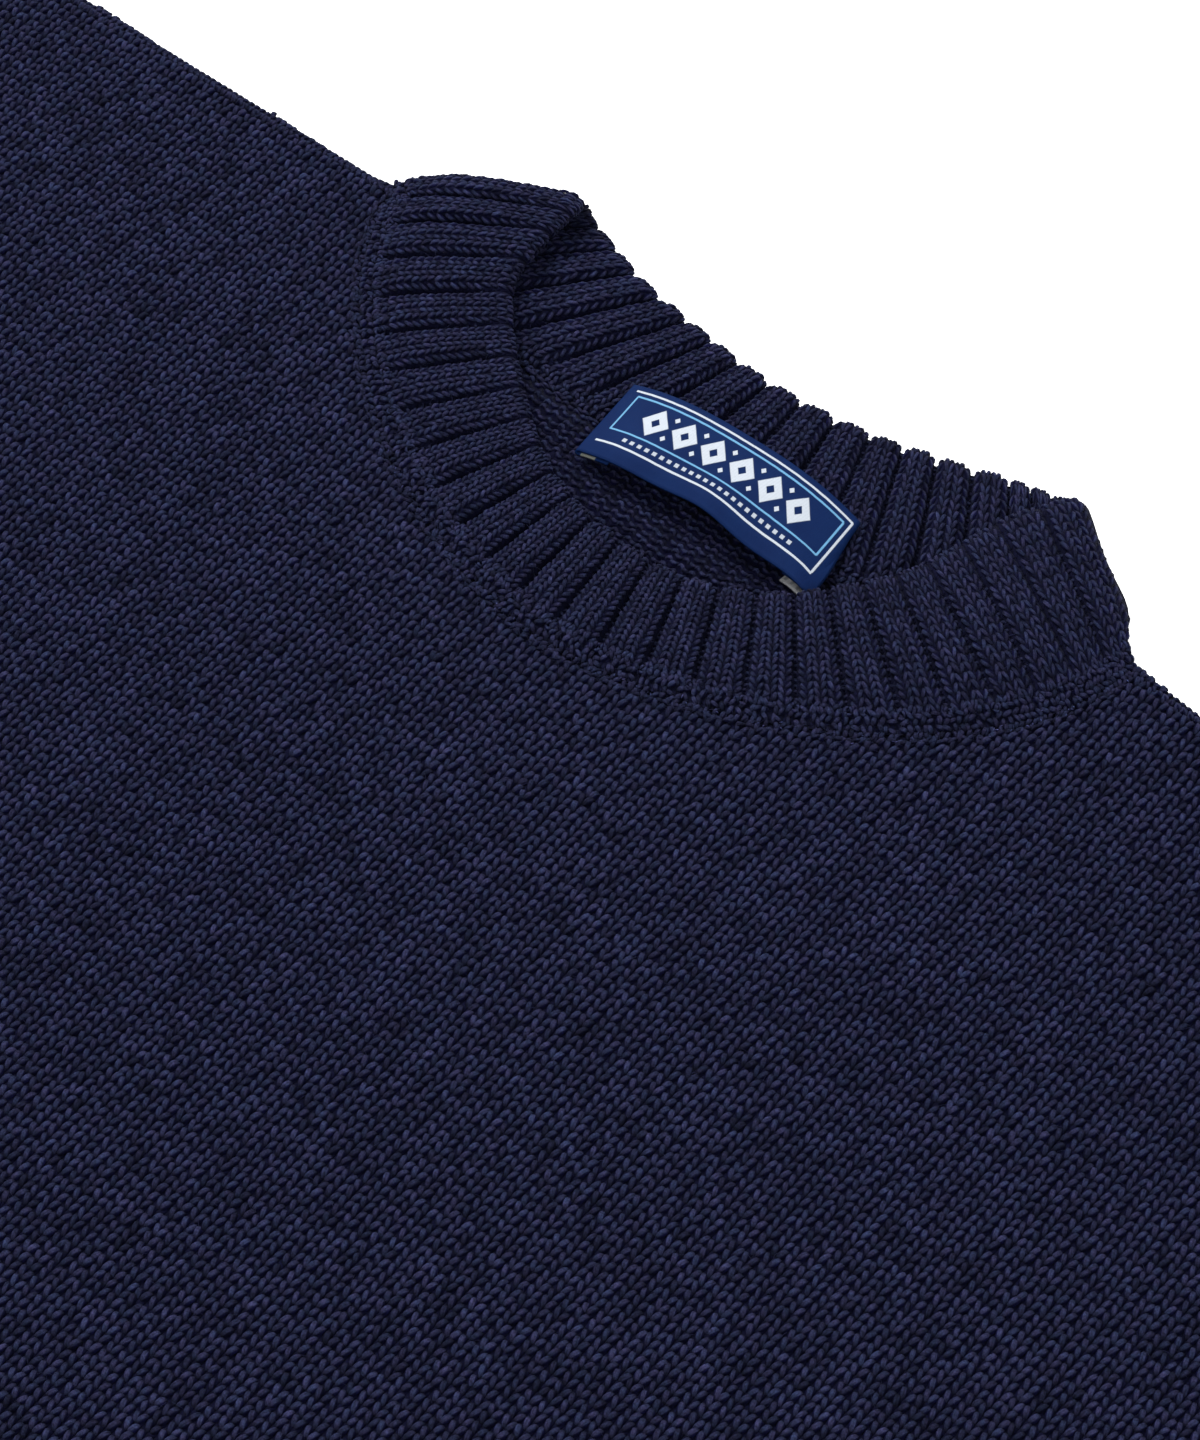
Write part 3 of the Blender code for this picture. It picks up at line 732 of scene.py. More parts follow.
def joinYarn(name, parts, arc=96, steps=4):
    # one piece from many lengths of yarn, with steps points over each and arc the degrees to either side
    return addYarn(name, *(np.concatenate(group) for group in zip(*parts)), arc, steps)


def yokeSurface(u, v):
    x, y = u * gauge["wale"], v * gauge["course"]
    share = yokeShare(x, y)
    z = frontHeight(x, y) - panelGrid["sink"] * share - 0.5 * mm * (1.0 - share)
    return np.stack([x, y, z], axis=-1)


def yokeStitches():
    # modelled Vs over all of the front that the photograph shows, in pieces side by side
    reach = int(body["halfWidth"] / gauge["wale"])
    deep = int(stitch["lowestRow"] / gauge["course"])
    u, v = np.meshgrid(np.arange(-reach, reach) + 0.5, -np.arange(-1, deep) - 0.5, indexing="ij")
    x, y = u * gauge["wale"], v * gauge["course"]
    kept = (yokeShare(x, y) > 0.04) & (y < frontTop(x) - 0.4 * mm)
    kept = kept & (np.abs(x) < body["halfWidth"] - 1.5 * mm)
    u, v = u[kept], v[kept]
    order = np.argsort(u, kind="stable")
    pieces = []
    for number, share in enumerate(np.array_split(order, stitch["pieces"])):
        name = f"yoke_stitches_{number + 1}"
        pieces.append(legsOn(name, yokeSurface, u[share], v[share], stitch["radius"]))
    print("yoke stitches:", len(u))
    return pieces


# The wrong side of the back, seen through the neck: each stitch shows one arch up and one arch down
purl = {
    "sink": 0.5 * mm,
    "reach": (118 * mm, -66 * mm),
    "fade": 6 * mm,
    "stitched": (92 * mm, -62 * mm),
    "course": 2.05 * mm,
    "radius": 0.68 * mm,
    "width": 0.66,
    "bow": 0.85 * mm,
}


def innerShare(x, y):
    side = smooth((purl["reach"][0] - np.abs(x)) / purl["fade"])
    return side * smooth((y - purl["reach"][1]) / purl["fade"])


def purlSurface(u, v):
    x, y = u * gauge["wale"], v * purl["course"]
    return np.stack([x, y, np.full(np.shape(x), cloth["thickness"] - purl["sink"])], axis=-1)


def purlStitches():
    across = int(purl["stitched"][0] / gauge["wale"])
    rows = np.arange(int(purl["stitched"][1] / purl["course"]), 3)
    u, v = np.meshgrid(np.arange(-across, across) + 0.5, rows + 0.5, indexing="ij")
    x, y = u * gauge["wale"], v * purl["course"]
    kept = y < backTop(x) - 0.5 * mm
    u, v = u[kept], v[kept]
    count = len(u)
    parts = []
    for shift, rise, turn in ((0.0, 0.0, 1.0), (0.5, 0.46, -1.0)):
        stray = chance.normal(0.0, 1.0, (5, count))
        length = gauge["wale"] * purl["width"] * (1.0 + 0.06 * stray[0])
        dyeAndShade = np.clip(0.86 + 0.20 * stray[1], 0.35, 1.5)
        parts.append(slugs(
            purlSurface, (0.05, 0.05), u + shift + 0.06 * stray[2], v + rise + 0.10 * stray[3],
            0.18 * stray[4], length, np.full(count, purl["radius"]), dyeAndShade, turn * purl["bow"], 0.35,
        ))
    print("purl stitches:", count)
    return joinYarn("back_purl_stitches", parts)


def chain(x, y, surface, angle, length, radius, tone=1.0, stray=0.14):
    # a line of sewn stitches through places on a panel
    count = len(x)
    turn = np.broadcast_to(angle, (count,)) + chance.normal(0.0, stray, count)
    dyeAndShade = tone * (1.0 + chance.normal(0.0, 0.14, count))
    return slugs(surface, (mm, mm), x, y, turn, np.full(count, length), np.full(count, radius), dyeAndShade, 0.0, 0.3)


def frontPlace(x, y):
    return np.stack([x, y, frontHeight(x, y)], axis=-1)


# Each sewn seam, in mm: where its stitches start and end and their pitch, then its rows as the way in from
# the edge and a turn in radians
sewing = {
    "armhole": (-10.0, -233.0, -2.47),
    "armholeRows": ((2.9, 1.05), (1.2, 2.1)),
    "shoulder": (111.5, 268.0, 1.8),
    "shoulderRows": ((1.1, 1.0), (2.6, -1.0)),
    "hem": (-259.0, 260.0, 3.6),
    "hemInward": 1.5 * mm,
}


def sewnSeams():
    # linked seams: both armholes, both shoulders and the join to the hem
    parts = []
    down = np.arange(*sewing["armhole"]) * mm
    for side in (-1, 1):
        for inward, tilt in sewing["armholeRows"]:
            x = np.full(len(down), side * (body["halfWidth"] - inward * mm))
            turn = math.pi / 2 - side * (tilt - math.pi / 2) * 0.9
            parts.append(chain(x, down, frontPlace, turn, 2.5 * mm, 0.6 * mm))
        along = side * np.arange(*sewing["shoulder"]) * mm
        edge = frontTop(along)
        for inward, tilt in sewing["shoulderRows"]:
            parts.append(chain(along, edge - inward * mm, frontPlace, tilt, 2.3 * mm, 0.62 * mm, 0.95, 0.3))
    across = np.arange(*sewing["hem"]) * mm
    low = np.full(len(across), hemLine + sewing["hemInward"])
    parts.append(chain(across, low, frontPlace, 0.0, 3.5 * mm, 0.6 * mm, 0.9))
    return joinYarn("seam_stitches", parts)


front = frontPanel()
back = backPanel()
yoke = yokeStitches()
backPurl = purlStitches()
seams = sewnSeams()
print("body panels made")


# Neckband

band = {
    "ribsFront": 26,
    "ribsBack": 18,
    "stitchesPerRib": 4,
    "thickness": 5.0 * mm,
    "baseThickness": 3.0 * mm,
    "baseFrontZ": 5.0 * mm,
    "baseBackZ": 1.6 * mm,
    "bulge": 1.6 * mm,
    # how far the left fold swells out and is drawn in, with each one's middle and width up the band
    "leftFoldBulge": (1.6 * mm, 0.34, 0.16),
    "leftFoldTuck": (2.5 * mm, 0.12, 0.11),
    "backEdgeZ": 2.6 * mm,
    # heights of a rib's four stitches, the purl one first, and where its three knit columns run
    "relief": (-1.2 * mm, 0.55 * mm, 0.8 * mm, 0.55 * mm),
    "grooveDepth": 1.3 * mm,
    "grooveWidth": 0.36,
    "columns": (0.88, 2.0, 3.12),
    "turn": 0.09,
    "around": 4,
    "legShare": 0.235,
    "legRadius": (0.42 * mm, 0.64 * mm),
    "pocketShade": 0.62,
    "pocketWidth": 5.0,
    # stations near both folds, where the ribs run out towards the free edge
    "calmBefore": (52, 16),
    "calmAfter": (72, 14),
    "shallowAfter": (84, 12),
    # how far round a fold both faces have single stitches, and where these end, in depths of the band
    "foldReach": 12,
    "outsideTo": 1.34,
    "insideFrom": 0.66,
    "foldTo": 1.7,
}

# The free edge of the band, in mm: x, y and height round the front, then x and y round the back
frontEdge = [
    (-69.6, 21.8, 9.6), (-68.3, 16.0, 12.0), (-68.5, 4.4, 11.3), (-66.6, -7.5, 9.8), (-57.5, -18.5, 8.2),
    (-43.5, -30.0, 6.9), (-28.0, -40.5, 6.5), (-11.5, -46.0, 6.4), (2.0, -47.2, 6.4), (14.5, -46.2, 6.4),
    (27.0, -41.5, 6.5), (38.5, -33.5, 6.9), (48.0, -23.0, 7.9), (56.0, -11.5, 9.2), (60.5, 0.5, 10.0),
    (64.0, 12.0, 10.2), (69.4, 23.0, 9.6), (72.0, 30.0, 6.6),
]
backEdge = [
    (72.0, 30.0), (67.5, 30.4), (55.0, 26.4), (36.0, 19.8), (16.0, 14.8), (-6.0, 12.6),
    (-26.0, 13.8), (-45.0, 16.2), (-60.0, 20.6), (-65.6, 22.6), (-69.6, 21.8),
]

# Ribs lean and crowd unevenly: a rib, then its place along the seam and along the free edge in even ribs
ribPlaces = np.array([
    (0, 0.0, 0.0), (2, 1.6, 1.65), (4, 3.6, 3.9), (6, 5.6, 5.95), (8, 7.78, 7.95), (10, 10.0, 9.8),
    (12, 12.15, 11.65), (14, 14.35, 13.7), (16, 16.55, 15.7), (18, 18.75, 17.65), (20, 20.9, 19.45),
    (22, 22.9, 21.2), (24, 24.6, 23.4), (25, 25.3, 24.7), (26, 26.0, 26.0), (27, 26.95, 27.0),
    (29, 28.4, 28.2), (31, 30.4, 30.3), (33, 32.3, 32.26), (35, 34.5, 34.44), (37, 36.7, 36.67),
    (39, 38.75, 38.7), (41, 40.9, 40.93), (44, 44.0, 44.0),
])


def necklinePoints(drop, fullness, height, count=60):
    x = -body["neckHalfWidth"] * np.cos(np.pi * np.arange(count + 1) / count)
    y = -necklineDrop(x, body["neckHalfWidth"], drop, fullness)
    return np.stack([x, y, np.full(len(x), height)], axis=-1)


def bandCurves():
    turnZ = (band["baseFrontZ"] + band["baseBackZ"]) * 0.5
    turnRight = np.array((-body["neckHalfWidth"], band["baseFrontZ"] - turnZ, turnZ))
    turnLeft = turnRight * np.array((-1, 1, 1))
    front = necklinePoints(body["frontDrop"], body["frontFullness"], band["baseFrontZ"])
    backward = necklinePoints(body["backDrop"], body["backFullness"], band["baseBackZ"])[::-1]
    edge = np.array(frontEdge) * mm
    behind = np.array([(x * mm, y * mm, band["backEdgeZ"]) for x, y in backEdge])
    behind[0], behind[-1] = edge[-1], edge[0]
    return (
        curveThrough([turnRight, *front, turnLeft]),
        curveThrough([turnLeft, *backward, turnRight]),
        curveThrough(edge),
        curveThrough(behind),
    )


seamFront, seamBack, edgeFront, edgeBack = bandCurves()
frontStations = band["ribsFront"] * band["stitchesPerRib"]
backStations = band["ribsBack"] * band["stitchesPerRib"]
stations = frontStations + backStations


def ringPoint(front, behind, station, column):
    perRib = band["stitchesPerRib"]
    station = np.interp(np.mod(station, stations) / perRib, ribPlaces[:, 0], ribPlaces[:, column]) * perRib
    ahead = front(np.clip(station / frontStations, 0, 1))
    astern = behind(np.clip((station - frontStations) / backStations, 0, 1))
    return np.where((station < frontStations)[..., None], ahead, astern)


def seamPoint(station):
    return ringPoint(seamFront, seamBack, station, 1)


def edgePoint(station):
    return ringPoint(edgeFront, edgeBack, station, 2)


ribs = band["ribsFront"] + band["ribsBack"]
grooveVariety = 1.0 + chance.uniform(-0.28, 0.22, ribs)


def grooveShare(station, level):
    # how deep a rib is cut: it runs out at the seam, and at the free edge beside both folds
    station = np.mod(station, stations)
    variety = grooveVariety[np.round(station / band["stitchesPerRib"]).astype(int) % ribs]
    pastFold = np.maximum(np.minimum(station - frontStations, stations - station), 0.0)
    front = 1.0 - smooth(pastFold / 8)
    before, after, shallow = (band[k] for k in ("calmBefore", "calmAfter", "shallowAfter"))
    besideFold = smooth((before[0] - station) / before[1])
    besideFold = np.maximum(besideFold, smooth((station - after[0]) / after[1]))
    left = between(0.90, between(0.66, 0.12, besideFold), front)
    start = np.interp(level, (0.0, 0.10, 0.28), (0.04, 0.30, 1.0))
    besideLeft = 1.0 - 0.5 * smooth((station - shallow[0]) / shallow[1]) * front
    return variety * start * besideLeft * (1.0 - (1.0 - left) * smooth((level - 0.60) / 0.34))


def swell(level, size, middle, width):
    # a rounded rise of the given size about a middle place
    return size * np.exp(-((level - middle) / width) ** 2)


def ribProfile(phase, depth, width):
    # heights over ribs, by stitches, with a groove of that depth and width cut along each purl stitch
    phase = np.mod(phase, band["stitchesPerRib"])
    relief = np.interp(phase, np.arange(5), (*band["relief"], band["relief"][0]))
    away = np.minimum(phase, band["stitchesPerRib"] - phase)
    return relief - swell(away, depth, 0.0, width)


def bandSurface(station, height, sunk=0.0):
    # height runs from 0 at the seam to 1 at the free edge, and on to 2 down the inner face
    seam, edge = seamPoint(station), edgePoint(station)
    around = seamPoint(station + 1) - seamPoint(station - 1) + edgePoint(station + 1) - edgePoint(station - 1)
    rise = edge - seam
    outward = unit(np.cross(around, rise))
    upward = outward[..., 2]
    turn = band["turn"]
    angle = np.clip((height - (1 - turn)) / (2 * turn), 0, 1) * np.pi
    side = np.cos(angle)
    folded = np.where(height < 1, height, 2 - height)
    level = np.where(np.abs(height - 1) < turn, 1 - turn + turn * np.sin(angle), folded)
    spot = seam + rise * level[..., None]
    lifted = between(seam[..., 2], edge[..., 2], 1 - (1 - level) ** 4)
    fold = 1 - np.minimum(np.abs(upward), 1)
    flat = outward * np.array((1, 1, 0))
    puff = swell(level, *band["leftFoldBulge"]) - swell(level, *band["leftFoldTuck"])
    puff = np.where(seam[..., 0] > 0, puff, 0.0)
    spot = spot + flat * (fold * (band["bulge"] * np.sin(np.pi * level) + puff))[..., None]
    spot[..., 2] = lifted
    growth = np.minimum(level / 0.28, 1)
    half = between(band["baseThickness"], band["thickness"], growth) * 0.5
    relief = ribProfile(station, band["grooveDepth"], band["grooveWidth"]) * grooveShare(station, level)
    # the ribs stand out on the face that shows: the outer one, or the inner one round the back
    outerShown = smooth(0.5 + 1.6 * (upward + 0.35))
    innerShown = smooth(0.5 - 1.6 * (upward + 0.35))
    shown = between(innerShown, outerShown, smooth((side + 0.6) / 1.2))
    shown = np.maximum(shown, 1 - np.abs(side))
    depth = (relief * shown - sunk)[..., None]
    spot = spot + outward * (side * half)[..., None]
    spot = spot + (outward * side[..., None] + unit(rise) * np.sin(angle)[..., None]) * depth
    spot[..., 2] = np.maximum(spot[..., 2], 0.0)
    return spot


def bandModelled(station, course):
    # where its stitches are modelled: outside round the front, inside round the back, and both folds
    courses = gauge["ribCourses"]
    inFront = station < frontStations
    fromFold = np.minimum(np.abs(station - frontStations), np.minimum(station, stations - station))
    fold = (fromFold < band["foldReach"]) & (course < courses * band["foldTo"])
    front = inFront & (course < courses * band["outsideTo"])
    inside = ~inFront & (course > courses * band["insideFrom"])
    return front | inside | fold


def neckbandRib():
    columns = stations * band["around"]
    station = np.arange(columns) / band["around"]
    # close together where the band turns over at its free edge
    height = np.concatenate([np.linspace(0, 0.9, 17), np.linspace(0.915, 1.085, 10), np.linspace(1.1, 2, 12)])
    u, v = np.meshgrid(station, height, indexing="ij")
    points = bandSurface(u, v, 0.42 * mm)
    # painted shade: the band's own face goes near black under its modelled stitches
    shadeUnderStitches = bandModelled(u, v * gauge["ribCourses"]) * 0.9
    quads, corners = gridQuads(columns, len(height), ringRows=True)
    courses = height[corners[..., 1]] * gauge["ribCourses"]
    spots = np.stack([corners[..., 0] / band["around"] + 0.5, courses], axis=-1)
    # strips between the two feet close the band along its seam
    last = len(height) - 1
    first = np.arange(columns) * len(height)
    second = np.roll(first, -1)
    foot = np.stack([first, second, second + last, first + last], axis=1)
    footSpots = np.zeros((columns, 4, 2)) + np.array((0.5, 0.0))
    piece = addPiece(
        "neckband_rib", points, np.concatenate([quads, foot]), np.concatenate([spots, footSpots]), plainKnit,
        values={"shadeUnderStitches": shadeUnderStitches},
    )
    faceUp(piece)
    return piece


def knitFace(u, v):
    return bandSurface(u, v / gauge["ribCourses"], 0.45 * mm)


def stitchWidth(u, v):
    return lengthOf(knitFace(u + 0.5, v) - knitFace(u - 0.5, v))[..., 0]


def bandStitches():
    # the knit columns as Vs, and in each groove the low bars of a purl column
    perRib = band["stitchesPerRib"]
    courses = gauge["ribCourses"]
    knit = (np.arange(0, stations, perRib)[:, None] + np.array(band["columns"])).ravel()
    level = np.arange(2, 2 * courses - 2) + 0.5
    u, v = np.meshgrid(knit, level, indexing="ij")
    kept = bandModelled(u, v)
    u, v = u[kept], v[kept]
    order = np.argsort(u, kind="stable")
    pieces = []
    for number, share in enumerate(np.array_split(order, 2)):
        radius = np.clip(stitchWidth(u[share], v[share]) * band["legShare"], *band["legRadius"])
        # little light reaches the pocket where the back of the band comes out from under the right fold
        inPocket = swell(u[share], band["pocketShade"], stations, band["pocketWidth"])
        dim = 1.0 - inPocket * smooth((v[share] - courses) / 3 + 1)
        name = f"neckband_stitches_{number + 1}"
        pieces.append(legsOn(name, knitFace, u[share], v[share], radius, arc=104, ribbed=True, dim=dim))
    grooves = np.arange(0, stations, perRib).astype(float)
    u, v = np.meshgrid(grooves, level + 0.5, indexing="ij")
    depth = grooveShare(u, np.minimum(v / courses, 2.0 - v / courses))
    kept = bandModelled(u, v) & (depth > 0.45) & (np.abs(u - frontStations) > 3) & (u > 3)
    u, v = u[kept], v[kept]
    count = len(u)
    stray = chance.normal(0.0, 1.0, (3, count))
    # the bars are painted darker, as shade down in the grooves
    bars = slugs(
        knitFace, (0.25, 0.2), u + 0.05 * stray[0], v + 0.08 * stray[1], 0.2 * stray[2],
        np.full(count, 2.1 * mm), np.full(count, 0.55 * mm), np.full(count, 0.75), 0.0, 0.3,
    )
    pieces.append(joinYarn("neckband_purl_bars", [bars]))
    print("neckband stitches:", len(order), "and purl bars:", count)
    return pieces


# The linked seam at the band's foot: rows of stitches given as distance from the seam up onto the
# band, pitch, turn in degrees, stray in radians, length, radius and shade
linking = {
    "outside": [
        (-1.9, 2.20, 8, 0.25, 2.5, 0.58, 0.70),
        (-0.5, 1.60, 62, 0.36, 2.3, 0.66, 0.86),
        (1.1, 1.65, -58, 0.42, 2.5, 0.72, 0.98),
        (2.7, 1.70, 62, 0.45, 2.5, 0.74, 1.00),
        (4.2, 1.80, -64, 0.45, 2.5, 0.72, 1.00),
        (5.4, 2.10, 72, 0.40, 2.3, 0.66, 0.92),
    ],
    "inside": [
        (-1.2, 2.10, 4, 0.20, 2.5, 0.58, 0.80),
        (0.3, 1.60, 66, 0.34, 2.2, 0.66, 0.86),
        (1.8, 1.70, -56, 0.40, 2.4, 0.70, 0.92),
        (3.3, 1.80, 58, 0.40, 2.3, 0.66, 0.92),
    ],
    "loopRadius": 1.0 * mm,
    "loopPlace": 4.3 * mm,
    "specks": 54,
    "sunk": 0.3 * mm,
    "blend": 1.4 * mm,
}


def besideSeam(station, offset, inside):
    # a place beside the seam, by its distance up onto the band or, below 0, down onto the panel
    foot = seamPoint(station)
    rise = edgePoint(station) - foot
    height = np.maximum(offset, 0.0) / lengthOf(rise)[..., 0]
    onBand = bandSurface(station, 2.0 - height if inside else height, linking["sunk"])
    panel = foot + unit(rise * np.array((1, 1, 0))) * offset[..., None]
    panel[..., 2] = cloth["thickness"] if inside else frontHeight(panel[..., 0], panel[..., 1]) - 0.25 * mm
    return between(panel, onBand, smooth(offset / linking["blend"] + 0.5)[..., None])


def seamOutside(station, offset):
    return besideSeam(station, offset, False)


def seamInside(station, offset):
    return besideSeam(station, offset, True)


def linkedSeam():
    parts = []
    for rows, surface, first, last, step in (
        (linking["outside"], seamOutside, 0.0, frontStations, 0.25),
        (linking["inside"], seamInside, frontStations, stations, -0.25),
    ):
        reach = np.linspace(first, last, 400)
        walk = lengthOf(np.diff(seamPoint(np.minimum(reach, stations - 1e-6)), axis=0))[:, 0].sum()
        for offset, pitch, turn, stray, length, radius, tone in rows:
            count = int(walk / (pitch * mm))
            u = np.linspace(first + 1.1, last - 0.3, count) + chance.normal(0.0, 0.12, count)
            v = (offset + chance.normal(0.0, 0.22, count)) * mm
            angle = math.radians(turn) + chance.normal(0.0, stray, count)
            size = 1.0 + chance.normal(0.0, 0.08, (2, count))
            dyeAndShade = np.clip(tone * (1.0 + chance.normal(0.0, 0.22, count)), 0.4, 1.7)
            size = size * np.array([[length], [radius]]) * mm
            parts.append(slugs(surface, (step, 0.3 * mm), u, v, angle, size[0], size[1], dyeAndShade, 0.0, 0.45))
    # a small ring of yarn at the foot of each groove
    radius = linking["loopRadius"]
    foot = np.arange(band["stitchesPerRib"], frontStations - 1, band["stitchesPerRib"]).astype(float)
    foot = foot + chance.normal(0.0, 0.2, len(foot))
    place = linking["loopPlace"] + chance.normal(0.0, 0.5 * mm, len(foot))
    perStation = lengthOf(seamPoint(foot + 0.5) - seamPoint(foot - 0.5))[:, 0]
    for around in np.radians((20, 140, 260)):
        count = len(foot)
        parts.append(slugs(
            seamOutside, (0.25, 0.3 * mm),
            foot + 0.55 * radius * math.cos(around) / perStation, place + 0.55 * radius * math.sin(around),
            np.full(count, around - math.pi / 2), np.full(count, 1.75 * radius), np.full(count, 0.42 * mm),
            np.full(count, 1.25), 0.5 * radius, 1.9,
        ))
    # stray pale fibre ends along the seam
    count = linking["specks"]
    u = frontStations * (0.30 + 0.68 * chance.random(count))
    parts.append(slugs(
        seamOutside, (0.25, 0.3 * mm), u, chance.normal(-0.6, 0.9, count) * mm,
        chance.uniform(0, math.pi, count), chance.uniform(0.5, 1.1, count) * mm,
        np.full(count, 0.16 * mm), chance.uniform(2.6, 5.0, count), 0.0, 4.2,
    ))
    return joinYarn("linking_stitches", parts, 104)


fuzz = {
    "panel": 2000,
    "band": 1800,
    "length": (1.2 * mm, 3.6 * mm),
    "width": 0.035 * mm,
    "edgeShare": 0.25,
    "acrossPanel": (-0.25, 0.25),
    "downPanel": (-0.31, 0.0),
}


def fibreEnds(surface, step, u, v):
    # loose fibre ends standing a little off the knitting
    count = len(u)
    angle = chance.uniform(0, 2 * math.pi, count)
    spot, ahead, aside, normal = turnedFrame(surface, step, u, v, angle)
    length = chance.uniform(*fuzz["length"], count)[:, None, None]
    place = np.linspace(0, 1, 5)[None, :, None]
    bend = chance.normal(0, 0.35, (count, 1, 1)) * place ** 2
    stand = chance.uniform(0.15, 0.75, (count, 1, 1))
    stand = stand * np.sin(place * chance.uniform(1.2, 2.9, (count, 1, 1)))
    way = ahead[:, None] * place + aside[:, None] * bend + normal[:, None] * stand
    spine = spot[:, None] + length * way + normal[:, None] * 0.3 * mm
    normals = np.broadcast_to(normal[:, None], spine.shape)
    sideways = unit(np.cross(unit(np.gradient(spine, axis=1)), normals))
    width = np.full((count, 5), fuzz["width"])
    return spine, sideways, normals, width, width, chance.uniform(0.9, 2.2, count)


def yokeFuzz():
    count = fuzz["panel"]
    x = chance.uniform(*fuzz["acrossPanel"], 3 * count)
    y = chance.uniform(*fuzz["downPanel"], 3 * count)
    # more of them along the neckline and the shoulders, where they show against the floor
    near = chance.random(3 * count) < fuzz["edgeShare"]
    edge = frontTop(x)
    y = np.where(near, edge - 0.6 * mm - 3 * mm * chance.random(3 * count), y)
    kept = (yokeShare(x, y) > 0.9) & (y < edge - 0.5 * mm)
    x, y = x[kept][:count], y[kept][:count]
    return joinYarn("yoke_fuzz", [fibreEnds(frontPlace, (mm, mm), x, y)], 62, 2)


def bandFuzz():
    count = fuzz["band"]
    u = chance.uniform(0, stations, 3 * count)
    v = gauge["ribCourses"] * np.where(
        u < frontStations, chance.uniform(0.02, 1.25, 3 * count), chance.uniform(0.8, 1.9, 3 * count),
    )
    kept = bandModelled(u, v)
    u, v = u[kept][:count], v[kept][:count]
    return joinYarn("neckband_fuzz", [fibreEnds(knitFace, (0.25, 0.2), u, v)], 62, 2)


neckband = neckbandRib()
neckStitches = [*bandStitches(), linkedSeam(), bandFuzz()]
yokeFibres = yokeFuzz()
print("neckband made")


# Sleeves, cuffs and hem

sleeveCut = {
    "slope": math.radians(38),
    "run": 400 * mm,
    "taper": math.radians(6),
    "endHalf": 51 * mm,
    "topPull": (92.15 * mm, -22.8 * mm),
    "bottomPull": (48 * mm, -36 * mm),
    "endTopPull": 190 * mm,
    "endBottomPull": 120 * mm,
    # the cuff draws the last part of the sleeve in by this share
    "gather": 0.07,
    "gatherFrom": 0.92,
    "rings": 56,
    "across": 44,
}
# widths and heights are shares, at places from the sleeve or the panel to the open end
cuffCut = {
    "length": 68 * mm,
    "half": 45 * mm,
    "height": 7.0 * mm,
    "ribs": 10,
    "ribShare": 0.75,
    "widths": ((0, 0.10, 0.55, 0.94, 1.0), (1.05, 0.99, 0.96, 0.98, 0.97)),
    "heights": ((0, 0.10, 0.94, 1.0), (0.94, 1.0, 1.0, 0.80)),
}
hemCut = {
    "rib": 9.6 * mm,
    "ribShare": 0.8,
    "backDepth": 0.35 * mm,
    "endDrop": 0.4,
    "endFrom": 0.985,
    "widths": ((0, 0.08, 0.94, 1.0), (1.0035, 1.0, 0.99, 0.985)),
    "heights": ((0, 0.08, 0.94, 1.0), (0.92, 1.0, 1.0, 0.74)),
}
# the depth of the grooves between their ribs, and a groove's width in stitches
shallowGroove = (0.25 * mm, 0.5)


def bezier(p0, p1, p2, p3, t):
    t = np.asarray(t)[:, None]
    s = 1.0 - t
    return p0 * s ** 3 + p1 * (3 * s * s * t) + p2 * (3 * s * t * t) + p3 * t ** 3


def heading(angle):
    return np.array((math.cos(angle), -math.sin(angle)))


def sleeveEnd():
    # the middle of the sleeve's end, and the ways along and across it
    slope = sleeveCut["slope"]
    along = heading(slope)
    across = np.array((math.sin(slope), math.cos(slope)))
    middle = np.array((body["halfWidth"] + cloth["seamGap"], -body["armhole"] * 0.5))
    return middle + along * sleeveCut["run"], along, across


def sleeveEdges(t):
    slope, taper = sleeveCut["slope"], sleeveCut["taper"]
    seam = body["halfWidth"] + cloth["seamGap"]
    top = np.array((seam, -body["shoulderFall"]))
    bottom = np.array((seam, -body["armhole"]))
    end, _, across = sleeveEnd()
    endTop = end + across * sleeveCut["endHalf"]
    endBottom = end - across * sleeveCut["endHalf"]
    topTurn = endTop - heading(slope + taper) * sleeveCut["endTopPull"]
    bottomTurn = endBottom - heading(slope - taper) * sleeveCut["endBottomPull"]
    upper = bezier(top, top + np.array(sleeveCut["topPull"]), topTurn, endTop, t)
    lower = bezier(bottom, bottom + np.array(sleeveCut["bottomPull"]), bottomTurn, endBottom, t)
    return upper, lower


def flatRing(halfWidth, height, floor, count, turnSteps=9):
    # once round a flattened tube: places across it and heights
    radius = height * 0.5
    straight = halfWidth - radius
    turn = np.linspace(-0.5, 0.5, turnSteps) * np.pi
    flat = np.linspace(1, -1, count + 2)[1:-1]
    out, up = radius * np.cos(turn), radius * np.sin(turn)
    across = np.concatenate([straight + out, straight * flat, -straight - out, -straight * flat])
    level = np.concatenate([radius + up, np.full(count, height), radius - up, np.zeros(count)])
    return across, floor + level


